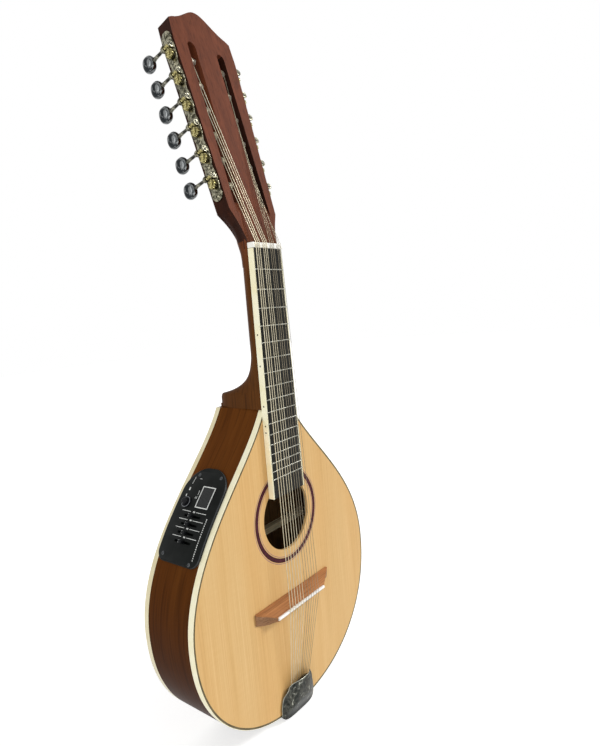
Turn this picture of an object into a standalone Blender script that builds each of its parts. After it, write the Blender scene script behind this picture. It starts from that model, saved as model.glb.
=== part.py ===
"""Twelve-string mandolin with four triple courses, a slotted headstock and a pickup preamp.

It stands upright with the headstock up: +Z runs along the neck, the soundboard faces -Y
and the treble side is +X. The origin is the middle of the nut's board-side edge, on the
plane of the soundboard.
"""
import math

import bmesh
import bpy
import numpy as np
from mathutils import Matrix, Vector

MM = 0.001

# Clearances
FIT = 0.3 * MM              # between pieces that touch on the real object
RUNNING = 0.35 * MM         # round a shaft that turns
COIL_GAP = 0.5 * MM         # between the turns of a string on its roller

# Strings and board
SCALE_LENGTH = 352 * MM
FRET_COUNT = 17
NUT_WIDTH = 42 * MM
BOARD_END_WIDTH = 48.6 * MM
BOARD_LENGTH = 239 * MM
BOARD_THICKNESS = 6.0 * MM
FRET_HEIGHT = 1.0 * MM
FRET_WIDTH = 2.2 * MM
NUT_LENGTH = 5 * MM
NUT_HEIGHT = 7.7 * MM       # above the soundboard plane
COURSES = 4
STRINGS_PER_COURSE = 3
NUT_COURSE_PITCH = 10.3 * MM
NUT_STRING_PITCH = 2.6 * MM
SADDLE_COURSE_PITCH = 13 * MM
SADDLE_STRING_PITCH = 4.3 * MM
TAIL_STRING_PITCH = 2.5 * MM
STRING_RADII = (0.40 * MM, 0.32 * MM, 0.24 * MM, 0.20 * MM)
WINDING_TURNS = 2.25
WINDING_POINTS = 8          # points for each turn
SPOOL_X = (17.6 * MM, 18.2 * MM, 18.8 * MM, 20.2 * MM, 20.9 * MM, 21.4 * MM)

# Body
BODY_HALF_WIDTH = 134.2 * MM
BODY_WAIST_Z = -337.5 * MM    # height of the widest place
BODY_TAIL_Z = -463.4 * MM
BODY_NECK_Z = -152 * MM
BODY_NECK_HALF_WIDTH = 20 * MM
SHOULDER_RISE = 81 * MM     # handle of the shoulder curve at the widest place
SHOULDER_HANDLE_X = 50 * MM
SHOULDER_HANDLE_Z = -206.5 * MM
TAIL_SQUARENESS = 2.18      # exponent of the lower bout, 2 is an ellipse
BODY_DEPTH = 65 * MM
SOUNDBOARD_THICKNESS = 2.8 * MM
BACK_THICKNESS = 2.8 * MM
RIM_WALL = 2.5 * MM
BINDING_WIDTH = 2.5 * MM
BINDING_HEIGHT = 6 * MM
LINING_DEPTH = 5 * MM
LINING_HEIGHT = 9 * MM
LINING_SLOPE = 4 * MM
LINING_RUN = 12 * MM        # length over which the lining fades in at the neck
OUTLINE_STEPS = 23          # stations on each half of the outline
SOUND_HOLE_RADIUS = 34.8 * MM
SOUND_HOLE_Z = -263 * MM

# Neck and heel
NECK_DEPTH = 17 * MM
NECK_ROUNDNESS = 2.3
NECK_TOP_Z = 12 * MM        # inside the headstock
HEEL_START_Z = -98 * MM
HEEL_CAP_Z = -138 * MM
HEEL_DEPTH = 64.4 * MM
HEEL_ROUNDNESS = 5.5
HEEL_TAPER = 0.80           # width of the heel cap over the width at the board
FOOT_HALF_WIDTH = 15.5 * MM
FOOT_LENGTH = 30 * MM       # inside the body
NECK_SECTION_STEPS = 12

# Tuner spacing, along the slanting sides of the headstock
TUNERS_PER_SIDE = 6
TUNER_PITCH = 25.3 * MM
FIRST_ROLLER_T = 63.5 * MM
LAST_ROLLER_T = FIRST_ROLLER_T + TUNER_PITCH * (TUNERS_PER_SIDE - 1)

# Headstock
HEAD_TILT = math.radians(14.6)
HEAD_DROP = 3 * MM          # face above the soundboard plane at the nut
HEAD_THICKNESS = 16.5 * MM
HEAD_FOOT_T = 5.6 * MM
HEAD_CORNER_T = 38 * MM
HEAD_CORNER_HALF = 32.9 * MM
HEAD_SHOULDER_T = LAST_ROLLER_T + 13 * MM
HEAD_SHOULDER_HALF = 40.3 * MM
HEAD_TIP_T = LAST_ROLLER_T + 53 * MM
SLOT_CENTRE_X = 19 * MM
SLOT_WIDTH = 10 * MM
SLOT_START_T = 45 * MM
SLOT_END_T = LAST_ROLLER_T + 16 * MM
SLOT_RAMP = 10 * MM
SLOT_RAMP_DEPTH = 3.2 * MM
HEAD_FOOT_LIFT = 9 * MM     # slope of the headstock's lower end behind
HEAD_FOOT_TAPER = 0.78
HEAD_LOWER_EDGE = ((21.4 * MM, HEAD_FOOT_T), (22.2 * MM, 11 * MM), (24.6 * MM, 20 * MM),
                   (28.6 * MM, 29.5 * MM), (HEAD_CORNER_HALF, HEAD_CORNER_T))
HEAD_UPPER_EDGE = ((39.2 * MM, 19.5 * MM), (34.5 * MM, 17 * MM), (26 * MM, 13.5 * MM),
                   (15 * MM, 6.5 * MM), (6 * MM, 1.2 * MM))     # half width, depth below the tip

# Tuners
GEAR_DISTANCE = 7 * MM      # from the roller's axis to the worm's
ROLLER_N = 7 * MM           # depth of the roller's axis behind the face
ROLLER_RADIUS = 2.75 * MM
ROLLER_REACH = 28.5 * MM    # from the side of the headstock to the roller's inner end
GEAR_RADIUS = 4.5 * MM
GEAR_TOOTH = 0.8 * MM
GEAR_TEETH = 12
GEAR_BASE_U = 2.6 * MM
GEAR_THICKNESS = 3.2 * MM
GEAR_SCREW_RADIUS = 1.9 * MM
GEAR_SCREW_HEIGHT = 0.9 * MM
PLATE_THICKNESS = 1.2 * MM
PLATE_N_START = 1.2 * MM
PLATE_WIDTH = 13.4 * MM
PLATE_END_MARGIN = 15.5 * MM
LUG_THICKNESS = 1.6 * MM
LUG_WIDTH = 6 * MM
LUG_HEIGHT = 6.4 * MM
SHAFT_U = 4.4 * MM          # height of the worm's axis over the side of the headstock
SHAFT_RADIUS = 1.4 * MM
WORM_RADIUS = 2.1 * MM
WORM_LENGTH = 6.6 * MM
NECKED_RADIUS = 1.1 * MM
COLLAR_RADIUS = 2.6 * MM
COLLAR_LENGTH = 2.2 * MM
BUTTON_N = 35 * MM          # depth of the button's middle behind the face
BUTTON_HALF = (5.0 * MM, 7.4 * MM, 7.7 * MM)

# Bridge and tailpiece
SADDLE_SETBACK = 0.5 * MM   # compensation, beyond the scale length
BRIDGE_SHIFT = -2 * MM      # the floating bridge stands a little to the bass side
BRIDGE_SKEW = math.radians(1.6)
TAILPIECE_SHIFT = -11.5 * MM  # so does the tailpiece, turned with the curve of the tail
TAILPIECE_SKEW = math.radians(4)
BRIDGE_HALF_LENGTH = 58 * MM
BRIDGE_CREST_HALF = 39.5 * MM
BRIDGE_HEIGHT = 11 * MM
BRIDGE_TIP_HEIGHT = 2.2 * MM
BRIDGE_TOE = 1.0 * MM
BRIDGE_NUT_SIDE = 11 * MM   # from the saddle's middle to the foot on the nut side
BRIDGE_TAIL_SIDE = 7.5 * MM
BRIDGE_TIP_RIDGE = 1.2 * MM # of top left beside the nut side at the tips
BRIDGE_LAND = 2.7 * MM      # half width of the flat crest
SADDLE_THICKNESS = 2.8 * MM
SADDLE_HALF_LENGTH = 37.3 * MM
SADDLE_HEIGHT = 13 * MM   # above the soundboard
SADDLE_SLOT_DEPTH = 3 * MM
COMB_END = 1.45 * MM        # past the middle of the outer strings
COMB_STEP = 1 * MM          # that the plate reaches past the comb
TAIL_PLATE_HALF_WIDTH = (COURSES * STRINGS_PER_COURSE - 1) / 2 * TAIL_STRING_PITCH + COMB_END + COMB_STEP
TAIL_PLATE_LENGTH = 26 * MM
TAIL_PLATE_THICKNESS = 1.3 * MM
TAIL_PLATE_DROP = 27 * MM
COMB_Z = -446 * MM
COMB_THICKNESS = 1.6 * MM
COMB_HEIGHT = 5.2 * MM
COMB_NOTCH_DEPTH = 1.9 * MM
COMB_NOTCH_CLEAR = 0.4 * MM
STRING_TAIL = 5 * MM        # length of string behind the comb
COVER_TOP_Z = -429 * MM
COVER_SIDE_CLEARANCE = 0.6 * MM
COVER_FLARE = 8.7 * MM      # each side is this much further out at the tail end
COVER_MOUTH_HALF = TAIL_PLATE_HALF_WIDTH + COVER_SIDE_CLEARANCE
COVER_END_HALF = COVER_MOUTH_HALF + COVER_FLARE
COVER_THICKNESS = 1.0 * MM
COVER_EDGE_HEIGHT = 5.5 * MM
COVER_CROWN = 6.5 * MM      # rise of the middle over the edges
COVER_CORNER = 4.5 * MM     # how far its four corners are rounded back
COVER_LIP = 5 * MM          # turned down over the tail
COVER_TRAVEL = 12 * MM

# Bracing and blocks
BRACE_HEIGHT = 8 * MM
BRACE_WIDTH = 7 * MM
TOP_BRACE_Z = (-218 * MM, -316 * MM, -395 * MM)
TOP_BRACE_X = 46 * MM
BACK_BRACE_Z = (-212 * MM, -301 * MM, -378 * MM)
BRACE_SHORT = 30 * MM       # how far a cross brace stops short of the outline
BACK_STRIP_HALF_WIDTH = 8 * MM
BACK_STRIP_TOP_Z = -190 * MM
BACK_STRIP_END_Z = -425 * MM
BACK_STRIP_THICKNESS = 2.5 * MM
TAIL_BLOCK_HALF_WIDTH = 24 * MM
TAIL_BLOCK_LENGTH = 18 * MM

# Pickup preamp, in the bass-side rim
PANEL_START = 65 * MM       # along the rim from the neck
PANEL_LENGTH = 90 * MM
PANEL_WIDTH = 54 * MM
PANEL_Y = (BODY_DEPTH - PANEL_WIDTH) / 2
PANEL_THICKNESS = 2 * MM
PANEL_CORNERS = (25 * MM, 10 * MM)  # at the neck end and the tail end
PANEL_STEPS = 14
BOX_LENGTH = 66 * MM        # its opening stays behind the panel's round corners
BOX_WIDTH = 42 * MM
BOX_DEPTH = 20 * MM
BOX_CLEARANCE = 1 * MM
KNOB_ALONG = 36 * MM        # from the panel's neck end
KNOB_Y = PANEL_Y + 41.5 * MM
KNOB_RADIUS = 5.6 * MM
KNOB_HEIGHT = 4.5 * MM
KNOB_STEM_RADIUS = 3 * MM
SLIDER_ALONG = 47.5 * MM
SLIDER_PITCH = 7.7 * MM
SLIDER_COUNT = 4
SLIDER_Y = PANEL_Y + PANEL_WIDTH / 2
SLIDER_TRAVEL = 9 * MM      # each way
SLIDER_CAP = (3.4 * MM, 4.6 * MM, 4.2 * MM)
SLIDER_STEM = (1.4 * MM, 2.2 * MM)
SLOT_DEPTH = 5 * MM

# Output jack, in the tail
JACK_Y = 44 * MM
JACK_FLANGE_RADIUS = 9.5 * MM
JACK_FLANGE_THICKNESS = 3 * MM
JACK_BARREL_RADIUS = 6 * MM
JACK_LENGTH = 34 * MM
JACK_BORE_RADIUS = 3.3 * MM
JACK_BORE_DEPTH = 30 * MM


def clear_scene():
    """Remove every object, so that the file can be run again."""
    for item in list(bpy.data.objects):
        bpy.data.objects.remove(item, do_unlink=True)


def material(name, colour, roughness, metallic=0.0):
    """A Principled material in one plain colour."""
    made = bpy.data.materials.get(name) or bpy.data.materials.new(name)
    made.use_nodes = True
    shader = made.node_tree.nodes["Principled BSDF"]
    shader.inputs["Base Color"].default_value = (*colour, 1.0)
    shader.inputs["Roughness"].default_value = roughness
    shader.inputs["Metallic"].default_value = metallic
    return made


def finish_mesh(name, build):
    """Turn a bmesh into a mesh whose faces point out, smooth except at sharp edges."""
    bmesh.ops.recalc_face_normals(build, faces=build.faces)
    mesh = bpy.data.meshes.new(name)
    build.to_mesh(mesh)
    build.free()
    mesh.shade_smooth()
    mesh.set_sharp_from_angle(angle=math.radians(35))
    return mesh


def place(name, mesh, finish=None, parent=None, location=(0, 0, 0), rotation=(0, 0, 0)):
    """Put an object with this mesh into the scene."""
    item = bpy.data.objects.new(name, mesh)
    bpy.context.scene.collection.objects.link(item)
    if finish is not None and not mesh.materials:
        mesh.materials.append(finish)
    item.parent = parent
    item.location = location
    item.rotation_euler = rotation
    return item


def frame(name, location, rotation, parent=None):
    """An empty that carries other objects."""
    empty = bpy.data.objects.new(name, None)
    bpy.context.scene.collection.objects.link(empty)
    empty.parent = parent
    empty.location = location
    empty.rotation_euler = rotation
    return empty


def loft_mesh(name, rings):
    """Skin a row of rings with the same number of points, and close both ends."""
    build = bmesh.new()
    rows = [[build.verts.new(point) for point in ring] for ring in rings]
    size = len(rows[0])
    for low, high in zip(rows, rows[1:]):
        for i in range(size):
            j = (i + 1) % size
            build.faces.new((low[i], low[j], high[j], high[i]))
    build.faces.new(rows[0])
    build.faces.new(rows[-1])
    return finish_mesh(name, build)


def prism_mesh(name, outline, low, high, at):
    """Extrude a closed outline; at(a, b, height) turns its points into places."""
    rings = [[at(a, b, height) for a, b in outline] for height in (low, high)]
    return loft_mesh(name, rings)


def box_mesh(name, low, high):
    """A box between two corners."""
    outline = ((low[0], low[1]), (high[0], low[1]), (high[0], high[1]), (low[0], high[1]))
    return prism_mesh(name, outline, low[2], high[2], lambda a, b, c: (a, b, c))


def circle(radius, steps, centre=(0.0, 0.0), start=0.0, sweep=2 * math.pi):
    """Points on a circle or an arc; a full circle doesn't repeat its first point."""
    last = steps if sweep >= 2 * math.pi - 1e-9 else steps - 1
    angles = [start + sweep * i / last for i in range(steps)]
    return [(centre[0] + radius * math.cos(a), centre[1] + radius * math.sin(a)) for a in angles]


def turned_mesh(name, profile, steps, at):
    """A solid of revolution from (height, radius) pairs; at(a, b, height) places points."""
    rings = [[at(a, b, height) for a, b in circle(radius, steps)] for height, radius in profile]
    return loft_mesh(name, rings)


def bore_mesh(name, low, high, radius, steps, at):
    """A bore whose flats, not its corners, lie at the radius."""
    outer = radius / math.cos(math.pi / steps)
    return turned_mesh(name, ((low, outer), (high, outer)), steps, at)


def combine(target, tool, operation):
    """Cut a solid by another, or join it to the other, with an exact Boolean."""
    tool.hide_render = True
    tool.display_type = "WIRE"
    step = target.modifiers.new(tool.name, "BOOLEAN")
    step.operation = operation
    step.solver = "EXACT"
    step.object = tool


def smooth_step(value):
    """Ease from 0 to 1."""
    value = min(1.0, max(0.0, value))
    return value * value * (3 - 2 * value)


class Outline:
    """The treble half of the body's outline, read by the length along it from the neck."""

    SAMPLES = 240

    def __init__(self):
        waist = np.array((BODY_HALF_WIDTH, BODY_WAIST_Z))
        handle = waist + (0, SHOULDER_RISE)
        shoulder = np.array((SHOULDER_HANDLE_X, SHOULDER_HANDLE_Z))
        neck = np.array((BODY_NECK_HALF_WIDTH, BODY_NECK_Z))
        t = np.linspace(0, 1, self.SAMPLES)[:, None]
        upper = ((1 - t) ** 3 * neck + 3 * (1 - t) ** 2 * t * shoulder
                 + 3 * (1 - t) * t ** 2 * handle + t ** 3 * waist)
        angle = np.linspace(0, math.pi / 2, self.SAMPLES)[1:]
        power = 2 / TAIL_SQUARENESS
        across = BODY_HALF_WIDTH * np.clip(np.cos(angle), 0, 1) ** power
        down = BODY_WAIST_Z + (BODY_TAIL_Z - BODY_WAIST_Z) * np.sin(angle) ** power
        self.points = np.vstack((upper, np.column_stack((across, down))))
        steps = np.hypot(*np.diff(self.points, axis=0).T)
        self.lengths = np.concatenate(((0.0,), np.cumsum(steps)))
        self.total = self.lengths[-1]

    def at(self, along):
        """Point, direction and inward normal at a length along the outline."""
        x = np.interp(along, self.lengths, self.points[:, 0])
        z = np.interp(along, self.lengths, self.points[:, 1])
        reach = 2 * MM
        before = max(0.0, along - reach)
        after = min(self.total, along + reach)
        dx = np.interp(after, self.lengths, self.points[:, 0]) - np.interp(
            before, self.lengths, self.points[:, 0])
        dz = np.interp(after, self.lengths, self.points[:, 1]) - np.interp(
            before, self.lengths, self.points[:, 1])
        size = math.hypot(dx, dz)
        direction = (dx / size, dz / size)
        if along >= self.total - 1e-9:
            direction = (-1.0, 0.0)
        return (x, z), direction, (direction[1], -direction[0])

    def inset(self, along, depth, side):
        """A point moved inwards by a depth; at the neck end it stays level with that end."""
        (x, z), _, inward = self.at(along)
        if along <= 1e-9:
            return side * (x + depth / inward[0]), z
        return side * (x + depth * inward[0]), z + depth * inward[1]

    def stations(self):
        """(length, side) for each place on the way round, bass side first."""
        lengths = [self.total * i / OUTLINE_STEPS for i in range(OUTLINE_STEPS + 1)]
        bass = [(length, -1) for length in lengths]
        treble = [(length, 1) for length in reversed(lengths[:-1])]
        return bass + treble

    def half_width(self, z):
        """Half the body's width at a height."""
        return float(np.interp(-z, -self.points[:, 1], self.points[:, 0]))


def strip_mesh(name, outline, section):
    """Run a cross-section of (inset, y) points round the body, open at the neck."""
    rings = []
    for along, side in outline.stations():
        ring = []
        for depth, y in section(along):
            x, z = outline.inset(along, depth, side)
            ring.append((x, y, z))
        rings.append(ring)
    return loft_mesh(name, rings)


def plate_mesh(name, outline, depth, low, high):
    """A flat plate with the body's outline, inset by a depth."""
    points = [outline.inset(along, depth, side) for along, side in outline.stations()]
    return prism_mesh(name, points, low, high, lambda a, b, c: (a, c, b))


def rim_section(along):
    """Wall with a lining ledge at its front and back edge."""
    fade = smooth_step(along / LINING_RUN)
    shelf = BINDING_WIDTH + FIT
    ledge = shelf + 0.2 * MM + LINING_DEPTH * fade
    front = SOUNDBOARD_THICKNESS + FIT
    back = BODY_DEPTH - BACK_THICKNESS - FIT
    wall_front = BINDING_HEIGHT + FIT
    wall_back = BODY_DEPTH - BINDING_HEIGHT - FIT
    slope = LINING_HEIGHT + LINING_SLOPE
    return ((0, wall_front), (shelf, wall_front), (shelf, front), (ledge, front),
            (ledge, front + LINING_HEIGHT), (RIM_WALL, front + slope),
            (RIM_WALL, back - slope), (ledge, back - LINING_HEIGHT),
            (ledge, back), (shelf, back), (shelf, wall_back), (0, wall_back))


def binding_section(low):
    """A square strip along one edge of the body."""
    high = low + BINDING_HEIGHT
    return lambda along: ((0, low), (BINDING_WIDTH, low), (BINDING_WIDTH, high), (0, high))


def board_half_width(z):
    """Half the fretboard's width at a height."""
    share = -z / BOARD_LENGTH
    return (NUT_WIDTH + (BOARD_END_WIDTH - NUT_WIDTH) * share) / 2


def fret_z(number):
    """Height of a fret, by the equal-tempered rule."""
    return -SCALE_LENGTH * (1 - 2 ** (-number / 12))


def fretboard_mesh():
    """Board and frets as one profile, extruded across and tapered."""
    top = -FIT - BOARD_THICKNESS
    profile = [(-FIT, -FIT), (-FIT, top)]
    for number in range(1, FRET_COUNT + 1):
        z = fret_z(number)
        half = FRET_WIDTH / 2
        profile += [(z + half, top), (z + half / 2, top - FRET_HEIGHT),
                    (z - half / 2, top - FRET_HEIGHT), (z - half, top)]
    profile += [(-BOARD_LENGTH, top), (-BOARD_LENGTH, -FIT)]
    rings = [[(side * board_half_width(z), y, z) for z, y in profile] for side in (-1, 1)]
    return loft_mesh("fretboard", rings)


def neck_section(z):
    """A section of the neck, flat in front and round behind, that turns into the heel."""
    share = min(1.0, max(0.0, (HEEL_START_Z - z) / (HEEL_START_Z - HEEL_CAP_Z)))
    swell = 1 - (1 - share ** 3.3) ** 0.76
    depth = NECK_DEPTH + (HEEL_DEPTH - NECK_DEPTH) * swell
    blend = smooth_step(share)
    power = 2 / (NECK_ROUNDNESS + (HEEL_ROUNDNESS - NECK_ROUNDNESS) * blend)
    taper = 1 + (HEEL_TAPER - 1) * blend
    half = board_half_width(min(z, 0.0))
    ring = []
    for i in range(NECK_SECTION_STEPS + 1):
        angle = math.pi * i / NECK_SECTION_STEPS
        across = math.copysign(abs(math.cos(angle)) ** power, math.cos(angle))
        back = abs(math.sin(angle)) ** power
        ring.append((half * across * (1 + (taper - 1) * back), depth * back, z))
    return ring


def neck_mesh():
    """Neck and heel, from just above the nut down to the body."""
    heights = [NECK_TOP_Z, 0, HEEL_START_Z * 0.4, HEEL_START_Z * 0.76]
    steps = 9
    heights += [HEEL_START_Z + (HEEL_CAP_Z - HEEL_START_Z) * i / steps for i in range(steps + 1)]
    heights.append(BODY_NECK_Z + FIT)
    return loft_mesh("neck", [neck_section(z) for z in heights])


def head_half_width(t):
    """Half the headstock's width where its sides are straight."""
    share = (t - HEAD_CORNER_T) / (HEAD_SHOULDER_T - HEAD_CORNER_T)
    return HEAD_CORNER_HALF + (HEAD_SHOULDER_HALF - HEAD_CORNER_HALF) * share


def head_outline(behind):
    """Outline of the headstock: narrow at the nut, peaked at the tip.

    The lower end rises and narrows from the face, 0, to the back, 1.
    """
    half = []
    for x, t in HEAD_LOWER_EDGE:
        share = behind * (HEAD_CORNER_T - t) / (HEAD_CORNER_T - HEAD_FOOT_T)
        half.append((x * (1 + (HEAD_FOOT_TAPER - 1) * share), t + HEAD_FOOT_LIFT * share))
    half.append((HEAD_SHOULDER_HALF, HEAD_SHOULDER_T))
    half += [(x, HEAD_TIP_T - below) for x, below in HEAD_UPPER_EDGE]
    half.append((0, HEAD_TIP_T))
    mirrored = [(-x, t) for x, t in reversed(half[:-1])]
    return half + mirrored


def slot_outline(side):
    """A long slot with round ends in the headstock."""
    radius = SLOT_WIDTH / 2
    low = circle(radius, 7, (side * SLOT_CENTRE_X, SLOT_START_T + radius), math.pi, math.pi)
    high = circle(radius, 7, (side * SLOT_CENTRE_X, SLOT_END_T - radius), 0, math.pi)
    return low + high


def make_neck(wood, head):
    """Neck, heel, the foot inside the body and the slotted headstock, as one piece."""
    neck = place("neck", neck_mesh(), wood)
    foot = box_mesh("neck_foot", (-FOOT_HALF_WIDTH, SOUNDBOARD_THICKNESS + FIT,
                                  BODY_NECK_Z - FOOT_LENGTH),
                    (FOOT_HALF_WIDTH, BODY_DEPTH - BACK_THICKNESS - FIT, BODY_NECK_Z + 4 * MM))
    combine(neck, place("neck_foot_tool", foot), "UNION")
    rings = [[(x, HEAD_THICKNESS * behind, t) for x, t in head_outline(behind)] for behind in (0, 1)]
    combine(neck, place("head_tool", loft_mesh("head_slab", rings), parent=head), "UNION")
    for side in (-1, 1):
        through = prism_mesh("slot", slot_outline(side), -MM, HEAD_THICKNESS + MM,
                             lambda a, b, c: (a, c, b))
        combine(neck, place(f"slot_tool_{side}", through, parent=head), "DIFFERENCE")
        ramp_start = SLOT_START_T - SLOT_RAMP
        ramp_end = SLOT_START_T + SLOT_WIDTH / 2
        ramp = ((-MM, ramp_start - 4 * MM), (-MM, ramp_end), (SLOT_RAMP_DEPTH, ramp_end), (0, ramp_start))
        inner = side * SLOT_CENTRE_X - (SLOT_WIDTH / 2 - 0.1 * MM)
        wedge = prism_mesh("ramp", ramp, inner, inner + SLOT_WIDTH - 0.2 * MM,
                           lambda a, b, c: (c, a, b))
        combine(neck, place(f"ramp_tool_{side}", wedge, parent=head), "DIFFERENCE")
    return neck


def side_frame(side, head):
    """A frame on one side of the headstock: x points to treble, y back and z up the side."""
    slant = math.atan2(HEAD_SHOULDER_HALF - HEAD_CORNER_HALF, HEAD_SHOULDER_T - HEAD_CORNER_T)
    name = "treble_side" if side > 0 else "bass_side"
    place_x = side * head_half_width(FIRST_ROLLER_T)
    return frame(name, (place_x, 0, FIRST_ROLLER_T), (0, side * slant, 0), head)


def roller_mesh(side):
    """Gear, its screw and the string post, turned about the post's axis."""
    def at(a, b, height):
        return side * height, a, b

    count = GEAR_TEETH
    build = bmesh.new()

    def ring(height, radius):
        return [build.verts.new(at(a, b, height)) for a, b in circle(radius, count)]

    def toothed(height):
        points = zip(circle(GEAR_RADIUS - GEAR_TOOTH, count),
                     circle(GEAR_RADIUS, count, start=math.pi / count))
        return [build.verts.new(at(a, b, height)) for pair in points for a, b in pair]

    def sides(low, high):
        size = len(low)
        for i in range(size):
            j = (i + 1) % size
            build.faces.new((low[i], low[j], high[j], high[i]))

    def web(inner, teeth):
        for i in range(count):
            j = (i + 1) % count
            build.faces.new((inner[i], inner[j], teeth[2 * j], teeth[2 * i + 1], teeth[2 * i]))

    top = GEAR_BASE_U + GEAR_THICKNESS
    post = ring(-ROLLER_REACH, ROLLER_RADIUS), ring(GEAR_BASE_U, ROLLER_RADIUS)
    gear = toothed(GEAR_BASE_U), toothed(top)
    screw = ring(top, GEAR_SCREW_RADIUS), ring(top + GEAR_SCREW_HEIGHT, GEAR_SCREW_RADIUS)
    for low, high in (post, gear, screw):
        sides(low, high)
    web(post[1], gear[0])
    web(screw[0], gear[1])
    build.faces.new(post[0])
    build.faces.new(screw[1])
    return finish_mesh(f"roller_{side}", build)


def key_mesh(side):
    """Worm, shaft and oval button, along the worm's axis."""
    worm_low = ROLLER_N - WORM_LENGTH / 2
    worm_high = ROLLER_N + WORM_LENGTH / 2
    lug_out = worm_high + 2 * RUNNING + LUG_THICKNESS
    half_u, half_n, half_v = BUTTON_HALF
    button_low = BUTTON_N - half_n
    rings = []
    steps = 8
    rounds = ((worm_low - RUNNING - LUG_THICKNESS, SHAFT_RADIUS), (worm_low, SHAFT_RADIUS),
              (worm_low, WORM_RADIUS), (worm_high, WORM_RADIUS), (worm_high, SHAFT_RADIUS),
              (lug_out + RUNNING, SHAFT_RADIUS), (lug_out + RUNNING, COLLAR_RADIUS),
              (lug_out + RUNNING + COLLAR_LENGTH, COLLAR_RADIUS),
              (lug_out + COLLAR_LENGTH + 2.4 * MM, NECKED_RADIUS), (button_low - MM, SHAFT_RADIUS))
    for height, radius in rounds:
        rings.append([(side * a, height, b) for a, b in circle(radius, steps)])
    for share in (-0.94, -0.55, 0.55, 0.94):
        swell = (1 - abs(share) ** 2.6) ** (1 / 2.6)
        height = BUTTON_N + half_n * share
        rings.append([(side * a * half_u * swell, height, b * half_v * swell)
                      for a, b in circle(1.0, steps)])
    return loft_mesh(f"key_{side}", rings)


def plate_mesh_for(side):
    """Tuner plate with two bearing lugs for each worm."""
    half_lug = LUG_WIDTH / 2
    worm_low = ROLLER_N - WORM_LENGTH / 2
    worm_high = ROLLER_N + WORM_LENGTH / 2
    across = [PLATE_N_START, worm_low - RUNNING - LUG_THICKNESS, worm_low - RUNNING,
              worm_high + RUNNING, worm_high + RUNNING + LUG_THICKNESS,
              PLATE_N_START + PLATE_WIDTH]
    worms = [GEAR_DISTANCE + TUNER_PITCH * i for i in range(TUNERS_PER_SIDE)]
    along = [worms[0] - PLATE_END_MARGIN - GEAR_DISTANCE]
    for worm in worms:
        along += [worm - half_lug, worm + half_lug]
    along.append(worms[-1] + PLATE_END_MARGIN)
    low = FIT
    high = FIT + PLATE_THICKNESS
    build = bmesh.new()
    grid = {}
    for level, height in enumerate((low, high)):
        for i, n in enumerate(across):
            for j, v in enumerate(along):
                grid[level, i, j] = build.verts.new((side * height, n, v))
    rows = len(across) - 1
    columns = len(along) - 1
    raised = []
    for i in range(rows):
        for j in range(columns):
            corners = ((i, j), (i + 1, j), (i + 1, j + 1), (i, j + 1))
            build.faces.new([grid[(0, *corner)] for corner in corners])
            face = build.faces.new([grid[(1, *corner)] for corner in corners])
            if i in (1, 3) and j % 2 == 1:
                raised.append(face)
    for i in range(rows):
        for j in (0, columns):
            build.faces.new((grid[0, i, j], grid[0, i + 1, j], grid[1, i + 1, j], grid[1, i, j]))
    for j in range(columns):
        for i in (0, rows):
            build.faces.new((grid[0, i, j], grid[0, i, j + 1], grid[1, i, j + 1], grid[1, i, j]))
    bmesh.ops.recalc_face_normals(build, faces=build.faces)
    for face in raised:
        made = bmesh.ops.extrude_discrete_faces(build, faces=[face])["faces"]
        bmesh.ops.translate(build, verts=made[0].verts, vec=(side * (LUG_HEIGHT), 0, 0))
    return finish_mesh(f"plate_{side}", build)


def make_tuners(side, head, neck, metals):
    """One side's plate, six rollers and six keys, with their holes in the headstock."""
    steel, brass, plated = metals
    carrier = side_frame(side, head)
    plate_name = "tuner_plate_treble" if side > 0 else "tuner_plate_bass"
    plate = place(plate_name, plate_mesh_for(side), plated, carrier)
    roller = roller_mesh(side)
    key = key_mesh(side)
    post_hole = ROLLER_RADIUS + RUNNING
    shaft_hole = SHAFT_RADIUS + RUNNING
    for i in range(TUNERS_PER_SIDE):
        number = i + 1 if side < 0 else 2 * TUNERS_PER_SIDE - i
        v = TUNER_PITCH * i
        post_place = (0, ROLLER_N, v)
        place(f"string_roller_{number:02d}", roller, brass, carrier, post_place)
        place(f"tuner_key_{number:02d}", key, steel, carrier, (side * SHAFT_U, 0, v + GEAR_DISTANCE))
        bore = bore_mesh("post_bore", -ROLLER_REACH - FIT, GEAR_BASE_U - 0.2 * MM, post_hole, 10,
                         lambda a, b, c: (side * c, a, b))
        tool = place(f"post_bore_{number:02d}", bore, parent=carrier, location=post_place)
        combine(neck, tool, "DIFFERENCE")
        combine(plate, tool, "DIFFERENCE")
        lug_bore = bore_mesh("shaft_bore", 0, PLATE_WIDTH + 4 * MM, shaft_hole, 8,
                             lambda a, b, c: (a, c, b))
        tool = place(f"shaft_bore_{number:02d}", lug_bore, parent=carrier,
                     location=(side * SHAFT_U, 0, v + GEAR_DISTANCE))
        combine(plate, tool, "DIFFERENCE")


def string_x(index, course_pitch, string_pitch):
    """Place of a string across the instrument, counted from the bass side."""
    course, member = divmod(index, STRINGS_PER_COURSE)
    middle = (course - (COURSES - 1) / 2) * course_pitch
    return middle + (member - (STRINGS_PER_COURSE - 1) / 2) * string_pitch


def saddle_z(x):
    """Height of the saddle's middle line at a place across the instrument."""
    return -SCALE_LENGTH - SADDLE_SETBACK - (x - BRIDGE_SHIFT) * math.tan(BRIDGE_SKEW)


def string_radius(index):
    """Radius of a string; each course is lighter than the one before."""
    return STRING_RADII[index // STRINGS_PER_COURSE]


def tailpiece_place():
    """Place of the tailpiece's own upright frame, whose heights are the body's."""
    turn = Matrix.Rotation(TAILPIECE_SKEW, 4, "Y")
    seat = Matrix.Translation((TAILPIECE_SHIFT, 0, BODY_TAIL_Z))
    return seat @ turn @ Matrix.Translation((0, 0, -BODY_TAIL_Z))


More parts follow.
